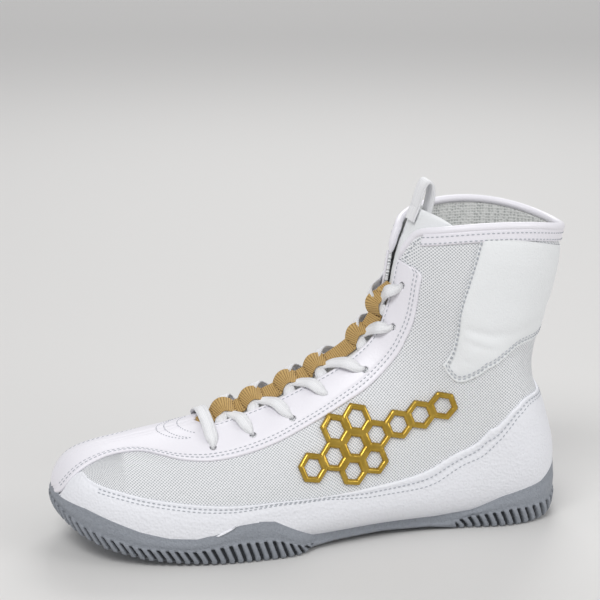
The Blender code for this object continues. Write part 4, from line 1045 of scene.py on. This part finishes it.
def bandMapping(side):
    front = float(throatAngle(lastSection, side)) - 7.0

    def mapping(p, q):
        angle = front * (1.0 - p)
        below = bandLooks["top"] + (bandLooks["bottom"] - bandLooks["top"]) * q
        a = collarTrim(np.full_like(angle, lastSection), side * angle, clear=below)
        distance = (1.0 - q) * (bandLooks["bottom"] - bandLooks["top"])
        height = roundedEdge(distance, bandLooks["thick"]) + 0.0002
        return raised(a, side * angle, height), np.stack([p * 0.12, below], axis=1)

    return mapping


bm = bmesh.new()
for side in (1, -1):
    layGrid(bm, 180, 12, bandMapping(side), flip=side > 0)
finishPiece("collar_band", bm, smoothLeather, (), thickness=0.0007)

tongueLooks = {"thick": 0.0032, "rise": 0.0140}
lean = unit(np.array([0.40, 0.0, 1.0]))


def tonguePoints(a, angle, depth):
    extra = np.maximum(0.0, a - lastSection)
    drop = wallThickness + 2.9 * fitGap
    sink = (bindingLooks["radius"] + fitGap - 0.5 * wallThickness) * np.interp(a, [15.5, 18.5], [0.0, 1.0])
    at = np.minimum(a, lastSection)
    point = raised(at, angle, -(drop + sink + depth))
    return point + lean * (extra * tongueLooks["rise"])[:, None]


def tongueMapping(p, q):
    a0 = 5.3 + p * (20.0 - 5.3)
    half = np.interp(a0, [5.3, 6.0, 8.0, 16.0, 18.6, 20.0], [26.0, 38.0, 41.0, 44.0, 54.0, 54.0])
    front = q <= 0.5
    step = np.where(front, -1.0 + 4.0 * q, 3.0 - 4.0 * q)
    step = np.clip(step, -1.0, 1.0)
    angle = 180.0 + half * step
    droop = np.maximum(0.0, a0 - lastSection) * (1.0 - 0.9 * step * step)
    a = np.minimum(a0, lastSection) + np.where(a0 > lastSection, droop, 0.0)
    edge = np.sqrt(np.clip(1.0 - np.abs(step) ** 6, 0.0, 1.0))
    endShut = np.clip((1.0 - p) / 0.012, 0.0, 1.0) ** 0.5 * np.clip(p / 0.01, 0.0, 1.0) ** 0.5
    middle = tongueLooks["thick"] * 0.5
    depth = middle + np.where(front, -1.0, 1.0) * middle * edge * endShut
    uv = np.stack([p * 0.25, step * 0.03 + np.where(front, 0.0, 0.1)], axis=1)
    return tonguePoints(a, angle, depth), uv


bm = bmesh.new()
layGrid(bm, 220, 80, tongueMapping)
tongue = finishPiece("tongue_padding", bm, paddedFabric, ("tongue",))

print("webbing")
webbingLooks = {"width": 0.0092, "thick": 0.0010, "base": 0.0008, "hump": 0.0042, "half": 0.0062,
                "roll": 38.0, "ribDeep": 0.00012}
webA = np.linspace(5.38, 14.7, 1040)
ridge = surface(webA, 180.0)
ridgeRun = arcLengths(ridge)
humpRun = np.interp(humps, webA, ridgeRun)
lift = np.zeros_like(webA)
for centreRun in humpRun:
    distance = np.abs(ridgeRun - centreRun) / webbingLooks["half"]
    lift = np.maximum(lift, np.where(distance < 1.0, np.cos(0.5 * np.pi * distance) ** 0.8, 0.0))
soften(lift, 10)
tuck = np.interp(webA, [5.38, 5.75, 14.1, 14.7], [-0.0036, 0.0, 0.0, -0.0034])
webHeight = webbingLooks["base"] + lift * webbingLooks["hump"]
webPath = raised(webA, 180.0, webHeight + tuck)
rollShare = np.interp(webA, [5.4, 6.0, 14.0, 14.7], [0.35, 1.0, 1.0, 0.5])
roll = np.radians(webbingLooks["roll"] * rollShare)
webWide = normal(webA, 180.0) * np.sin(roll)[:, None]
webWide[:, 1] += np.cos(roll)


def webShape(at, q, whole):
    across, rise = tapeSection(webbingLooks["width"], webbingLooks["thick"], power=5.0)(at, q, whole)
    wave = np.cos(2.0 * np.pi * at / webbingRib)
    return across, rise + np.sign(rise) * webbingLooks["ribDeep"] * wave


bm = bmesh.new()
sweepGrid(bm, webPath, webWide, 900, 20, webShape)
finishPiece("webbing_tape", bm, goldWebbing, ("webbing",))

print("laces")
laceLooks = {"width": 0.0070, "thick": 0.0012, "ribs": 5, "ribDeep": 0.00022, "hole": 0.0040,
             "gather": 0.0100}
overHeight = 0.0014 + 0.5 * laceLooks["thick"]
underTape = webbingLooks["base"] + webbingLooks["hump"] - 0.0021
# How much the far stretch of each lace bows outward.
farRise = [0.0004, 0.0010, 0.0014, 0.0018, 0.0022, 0.0026]


# Control points of a lace: section number, angle, side, height above the shoe's surface.
def laceRun(index, side):
    lowA, lowAngle = eyelets[index]
    highA, highAngle = eyelets[index + 1]
    place = humps[index]
    other = -side
    edge = float(throatAngle(0.5 * (place + highA), side))
    edgeLow = float(throatAngle(0.5 * (place + lowA), other))
    rise = farRise[index] if side > 0 else 0.0
    slope = 0.00086 * (1 if side > 0 else -1)  # metres down per millimetre towards the outer side
    return [
        (highA, highAngle + 1.0, side, -0.0045),
        (highA, highAngle + 1.4, side, overHeight - 0.0018),
        (highA - 0.12 * (highA - place), 0.80 * highAngle + 0.20 * edge, side, overHeight + 0.0003),
        (highA - 0.36 * (highA - place), 0.30 * highAngle + 0.70 * edge, side, overHeight + 0.0006 + rise),
        (highA - 0.66 * (highA - place), 0.62 * edge + 0.38 * 180.0, side,
         underTape - 4.2 * slope + 0.0004 + rise),
        (place + 0.10 * (highA - place), 0.25 * edge + 0.75 * 180.0, side, underTape - 2.4 * slope),
        (place, 180.0, side, underTape),
        (place - 0.12 * (place - lowA), 0.35 * edgeLow + 0.65 * 180.0, other, underTape + 2.6 * slope),
        (place - 0.30 * (place - lowA), 0.80 * edgeLow + 0.20 * 180.0, other,
         0.25 * (underTape + 3.0 * slope)),
        (place - 0.45 * (place - lowA), edgeLow - 3.0, other, -0.0032),
        (lowA, lowAngle, other, -0.0042),
    ]


def lacePath(points, count=170):
    table = np.array(points, float)
    spots = raised(table[:, 0], table[:, 1] * table[:, 2], table[:, 3])
    outs = normal(table[:, 0], table[:, 1] * table[:, 2])
    shares = np.linspace(0.0, 1.0, count)
    path = smoothAt(spots, shares)
    out = smoothAt(outs, shares)
    wide = unit(np.cross(out, np.gradient(path, axis=0)))
    soften(wide, 12)
    return path, wide


# The lace is round where it leaves an eyelet, spreads out flat, and narrows under its loop.
def laceShape(bothEnds=False, atHump=None):
    base = tapeSection(laceLooks["width"], laceLooks["thick"], laceLooks["ribs"], laceLooks["ribDeep"],
                       power=3.0)

    def shape(at, q, whole):
        across, rise = base(at, q, whole)
        away = np.minimum(at, whole - at) if bothEnds else at
        part = np.sin(0.5 * np.pi * np.clip((away - laceLooks["hole"]) / laceLooks["gather"], 0.0, 1.0))
        if atHump is not None:
            near = np.exp(-((at - atHump) / 0.0058) ** 2)
            across = across * (1.0 - 0.52 * near)
            rise = rise * (1.0 + 0.25 * near)
        across = across * (0.26 + 0.74 * part)
        rise = rise * (1.7 - 0.7 * part) - 0.0009 * (1.0 - part) * (across / 0.0015) ** 2
        return across, rise

    return shape


for index in range(6):
    bm = bmesh.new()
    for side in (1, -1):
        path, wide = lacePath(laceRun(index, side))
        humpSpot = raised(humps[index], 180.0, underTape)
        closest = int(np.argmin(np.linalg.norm(path - humpSpot, axis=1)))
        sweepGrid(bm, path, wide, 120, 40, laceShape(atHump=float(arcLengths(path)[closest])))
    number = str(index + 1)
    finishPiece("lace_pair_" + number, bm, whiteLace, ("lace_cross_" + number,))

firstA, firstAngle = eyelets[0]
barPoints = [(firstA, firstAngle, 1, -0.0045), (firstA, firstAngle + 0.3, 1, overHeight - 0.0016)]
for angle, rise in ((150.0, 0.0008), (157.0, 0.0014), (165.0, 0.0024), (173.0, 0.0032)):
    barPoints.append((firstA + 0.02, angle, 1, overHeight + rise))
mirrored = [(a, angle, -1, height) for a, angle, _, height in reversed(barPoints)]
barPoints += [(firstA + 0.02, 180.0, 1, overHeight + 0.0036)] + mirrored
path, wide = lacePath(barPoints, 220)
bm = bmesh.new()
sweepGrid(bm, path, wide, 150, 40, laceShape(bothEnds=True))
finishPiece("lace_front_bar", bm, whiteLace, ("lace_bar",))

print("pull loop")
loopLooks = {"width": 0.0135, "height": 0.021, "thick": 0.0017}


def tongueFront(a, depth):
    return tonguePoints(np.array([a]), 180.0, depth)[0]


lowFront = tongueFront(19.4, -0.0004 - 0.5 * loopLooks["thick"])
highFront = tongueFront(19.95, -0.0004 - 0.5 * loopLooks["thick"])
backDepth = tongueLooks["thick"] + 0.0004 + 0.5 * loopLooks["thick"] + loopLooks["width"] ** 2 / 0.11
lowBack = tongueFront(19.45, backDepth)
highBack = tongueFront(19.95, backDepth)
loopAcross = highBack - highFront
loopPath = [lowFront, highFront]
for turn in np.linspace(0.0, math.pi, 8):
    rise = lean * (loopLooks["height"] - 0.006) * math.sin(turn) ** 0.7 + lean * 0.001
    share = 0.5 - 0.5 * math.cos(turn)
    loopPath.append(highFront + loopAcross * share - loopAcross * 0.35 * math.sin(turn) + rise)
loopPath += [highBack, lowBack]
bm = bmesh.new()
sweepGrid(bm, smoothAt(loopPath, np.linspace(0, 1, 160)), [0.0, 1.0, 0.0], 160, 40,
          tapeSection(loopLooks["width"], loopLooks["thick"], 7, 0.00008, power=5.0))
finishPiece("pull_tape", bm, whiteLace, ("pull_loop",))

print("honeycomb")
cageLooks = {"radius": 0.0076, "bar": 0.0034, "thick": 0.0014, "tilt": 20.0}
cageCells = [(1, k) for k in range(7)] + [(0, 1), (0, 2), (2, 1), (2, 2)]


# Section numbers and angles of the surface points that lie at x and z in the side view.
def surfaceFromSide(x, z, side):
    netA, netAngle = np.meshgrid(np.linspace(5.5, 17.5, 97), side * np.linspace(40.0, 150.0, 61),
                                 indexing="ij")
    net = surface(netA, netAngle)
    a = np.zeros_like(x)
    angle = np.zeros_like(x)
    for k in range(len(x)):
        away = (net[..., 0] - x[k]) ** 2 + (net[..., 2] - z[k]) ** 2
        spot = np.unravel_index(np.argmin(away), away.shape)
        a[k] = netA[spot]
        angle[k] = netAngle[spot]
    for _ in range(10):
        point = surface(a, angle)
        missX = point[:, 0] - x
        missZ = point[:, 2] - z
        stepA = (surface(a + 0.01, angle) - point) / 0.01
        stepB = (surface(a, angle + 0.1) - point) / 0.1
        det = stepA[:, 0] * stepB[:, 2] - stepB[:, 0] * stepA[:, 2]
        a = a - (missX * stepB[:, 2] - missZ * stepB[:, 0]) / det
        angle = angle - (missZ * stepA[:, 0] - missX * stepA[:, 2]) / det
    return a, angle


tilt = math.radians(cageLooks["tilt"])
runWay = np.array([math.cos(tilt), math.sin(tilt)])
riseWay = np.array([-math.sin(tilt), math.cos(tilt)])
cageStart = np.array([0.4755 * shoeLength, 0.475 * instepHeight])


def cellCentre(row, place):
    shift = 0.5 if row != 1 else 0.0
    flat = cageStart + runWay * math.sqrt(3.0) * cageLooks["radius"] * (place + shift)
    return flat + riseWay * 1.5 * cageLooks["radius"] * (row - 1)


def hexCorner(centre, radius, k):
    turn = math.radians(60.0 * k + 30.0)
    return centre + radius * (runWay * math.cos(turn) + riseWay * math.sin(turn))


centres = [cellCentre(row, place) for row, place in cageCells]
openEdges = []
for centre in centres:
    for k in range(6):
        first = hexCorner(centre, cageLooks["radius"], k)
        second = hexCorner(centre, cageLooks["radius"], k + 1)
        beyond = centre + 2.0 * (0.5 * (first + second) - centre)
        if min(np.linalg.norm(beyond - other) for other in centres) > 0.001:
            openEdges.append((first, second))


def edgeDistance(flat):
    nearest = np.full(len(flat), 1.0)
    for first, second in openEdges:
        way = second - first
        t = np.clip(((flat - first) @ way) / (way @ way), 0.0, 1.0)
        nearest = np.minimum(nearest, np.linalg.norm(flat - first - t[:, None] * way, axis=1))
    return nearest


for side, name in ((1, "cage_outer"), (-1, "cage_inner")):
    bm = bmesh.new()
    for centre in centres:
        corners = np.array([hexCorner(np.zeros(2), 1.0, k) for k in range(7)])

        def mapping(p, q, centre=centre, corners=corners, side=side):
            ring = readLine(p * 6.0, np.arange(7), corners)
            part = np.array([0.0, 0.12, 0.3, 0.55, 0.75, 0.88, 0.96, 1.0])
            depth = np.interp(q, np.linspace(0, 1, 8), part) * cageLooks["bar"] / math.sqrt(3.0)
            flat = centre + ring * (cageLooks["radius"] - depth)[:, None]
            inward = (cageLooks["bar"] / math.sqrt(3.0) - depth) * math.sqrt(3.0) / 2.0
            distance = np.minimum(inward, edgeDistance(flat))
            height = roundedEdge(distance, cageLooks["thick"], 0.0007)
            a, angle = surfaceFromSide(flat[:, 0] - shoeLength / 2.0, flat[:, 1], side)
            return raised(a, angle, height), flat

        layGrid(bm, 72, 7, mapping, flip=side > 0)
    finishPiece("honeycomb_" + name[5:], bm, goldFilm, (name,), weld=0.00002, thickness=0.0008)

print("stitches")
# pitch, length and thickness of a stitch
stitchLooks = {"panel": (0.0027, 0.0018, 0.00034), "slot": (0.0020, 0.0012, 0.00034),
               "bar": (0.0014, 0.0008, 0.00032)}


# Adds small flattened beads along a line that lies on the shoe.
def stitchRow(bm, spots, outs, looks=None):
    row = bmesh.new()
    pitch, long, thick = looks or stitchLooks["panel"]
    run = arcLengths(spots)
    count = max(1, int(run[-1] / pitch))
    for k in range(count):
        at = (k + 0.5) * run[-1] / count
        centre = readLine(at, run, spots)
        way = unit(readLine(at + 0.0006, run, spots) - readLine(at - 0.0006, run, spots))
        aside = unit(np.cross(readLine(at, run, outs), way))
        out = np.cross(way, aside)
        matrix = Matrix.Identity(4)
        for i in range(3):
            matrix[i][0] = aside[i] * thick
            matrix[i][1] = out[i] * thick * 0.8
            matrix[i][2] = way[i] * long / 2.0
            matrix[i][3] = (centre - frameShift)[i]
        bmesh.ops.create_uvsphere(row, u_segments=6, v_segments=5, radius=1.0, matrix=matrix)
    mesh = bpy.data.meshes.new("row")
    row.to_mesh(mesh)
    row.free()
    bm.from_mesh(mesh)
    bpy.data.meshes.remove(mesh)


# Sews a row along section numbers and angles, at a height above the surface.
def sew(a, angle, side, height, looks=None):
    stitchRow(bm, raised(a, side * angle, height), normal(a, side * angle), looks)


# Section numbers and angles of a line a given distance inside a panel's low or high edge.
def insetLine(lowLine, highLine, side, distance, fromHigh=False, bow=0.0):
    wide = widthBetween(lowLine, highLine, side)
    part = np.clip(distance / np.maximum(wide, 1e-6), 0.0, 0.5)
    if fromHigh:
        part = 1.0 - part
    line = lowLine * (1 - part)[:, None] + highLine * part[:, None]
    return line[:, 0], line[:, 1] - bowed(bow, part, np.linspace(0.0, 1.0, len(lowLine)))


bm = bmesh.new()
for outerLine, innerLine, side in stripParts:
    for distance in stripLooks["rows"]:
        a, angle = insetLine(outerLine, innerLine, side, distance)
        sew(a[12:-6], angle[12:-6], side, stripLooks["stitchHeight"])
    a, angle = insetLine(outerLine, innerLine, side, stripLooks["innerRow"], fromHigh=True)
    keep = a > 5.75
    sew(a[keep][:-6], angle[keep][:-6], side, stripLooks["stitchHeight"])
for footLine, topLine, side in randParts:
    for distance in randLooks["rows"]:
        a, angle = insetLine(footLine, topLine, side, distance, fromHigh=True)
        sew(a[70:], angle[70:], side, randLooks["stitchHeight"])
for side in (1, -1):
    low, high = lineAt(ankleLow), lineAt(ankleHigh)
    for distance in ankleLooks["rows"]:
        front = distance / 0.075
        parts = np.linspace(0.98, distance / 0.05, 60)
        first = int(front * (lineCount - 1)) + 1
        aFront = low[first, 0] * (1 - parts) + high[first, 0] * parts
        angleFront = low[first, 1] * (1 - parts) + high[first, 1] * parts
        angleFront -= bowed(ankleLooks["bow"], parts, front)
        a, angle = insetLine(low, high, side, distance, bow=ankleLooks["bow"])
        sew(np.concatenate([aFront, a[first + 2:]]), np.concatenate([angleFront, angle[first + 2:]]),
            side, ankleLooks["stitchHeight"])
    # two rows under the collar roll
    for below in (0.0036, 0.0072):
        angle = np.linspace(float(throatAngle(lastSection, side)) - 6.0, 0.5, 160)
        sew(collarTrim(np.full_like(angle, lastSection), side * angle, clear=below), angle, side, 0.0011)
    # a row beside the roll on the front edge of each flap
    a = np.linspace(17.0, 18.55, 60)
    sew(a, throatAngle(a, side, 0.0042), side, 0.0003)
# curved rows round the slot where the tape starts
for reach, half in ((0.32, 17.0), (0.62, 21.0), (0.80, 21.0)):
    turn = np.linspace(-1.0, 1.0, 50)
    a = 5.45 - reach * np.sqrt(np.clip(1.0 - (turn * 0.92) ** 2, 0.0, 1.0)) + 0.10 * turn ** 2
    sew(a, 180.0 - half * turn, 1, 0.00142, stitchLooks["slot"])
finishPiece("stitch_rows", bm, threadGrey, (), weld=0.0)

# Dark bars sewn through the tape on both sides of each loop.
bm = bmesh.new()
for centreRun in humpRun:
    for away in (-webbingLooks["half"], webbingLooks["half"]):
        at = np.interp(centreRun + away, ridgeRun, webA)
        spot = raised(at, 180.0, np.interp(at, webA, webHeight))
        turn = math.radians(webbingLooks["roll"])
        out = normal(at, 180.0)
        wideWay = unit(np.array([0.0, math.cos(turn), 0.0]) + out * math.sin(turn))
        outTape = unit(out - wideWay * (out @ wideWay))
        line = spot + wideWay * np.linspace(-0.0040, 0.0040, 12)[:, None] + outTape * 0.00055
        stitchRow(bm, line, np.repeat(outTape[None, :], 12, axis=0), stitchLooks["bar"])
finishPiece("tape_stitch_bars", bm, threadBrown, (), weld=0.0)

# The insole keeps its solid's shape and takes the lining's look.
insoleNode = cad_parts["insole"]
for slot in insoleNode.material_slots:
    slot.material = liningFabric

print("stage")
floorMaterial, tree, shader = newMaterial("pale_floor", {"Base Color": linear("#d9d8d6"), "Roughness": 0.6})
bm = bmesh.new()
bmesh.ops.create_grid(bm, x_segments=1, y_segments=1, size=6.0)
floorMesh = bpy.data.meshes.new("floor")
bm.to_mesh(floorMesh)
bm.free()
floor = addObject("floor", floorMesh)
floorMesh.materials.append(floorMaterial)
floor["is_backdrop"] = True

world = bpy.data.worlds.new("studio")
bpy.context.scene.world = world
world.use_nodes = True
backdrop = world.node_tree.nodes["Background"]
backdrop.inputs["Color"].default_value = linear("#eeeef0")
backdrop.inputs["Strength"].default_value = 0.55


def areaLight(name, place, target, size, power):
    data = bpy.data.lights.new(name, "AREA")
    data.shape = "RECTANGLE"
    data.size = size
    data.size_y = size * 0.7
    data.energy = power
    lamp = addObject(name, data)
    lamp.location = place
    lamp.rotation_euler = (Vector(target) - Vector(place)).to_track_quat("-Z", "Y").to_euler()


areaLight("key", (-0.7, -0.9, 1.5), (0.0, 0.0, 0.06), 0.9, 14.5)
areaLight("fill", (1.1, -0.8, 0.8), (0.0, 0.0, 0.08), 0.8, 5.0)
areaLight("back", (0.4, 1.2, 1.1), (0.0, 0.0, 0.1), 0.8, 6.0)
areaLight("far_floor", (0.7, 3.0, 1.8), (0.7, 3.0, 0.0), 2.6, 13.0)

cameraData = bpy.data.cameras.new("camera")
cameraData.lens = 111.0
cameraData.sensor_width = 36.0
cameraData.clip_start = 0.01
camera = addObject("camera", cameraData)
cameraDown, cameraTurn = 15.412, 14.0
camera.location = (-0.238825, -0.93625, 0.39543)
camera.rotation_euler = (math.radians(90.0 - cameraDown), 0.0, math.radians(-cameraTurn))
bpy.context.scene.camera = camera
bpy.context.scene.view_settings.view_transform = "Standard"

low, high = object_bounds()
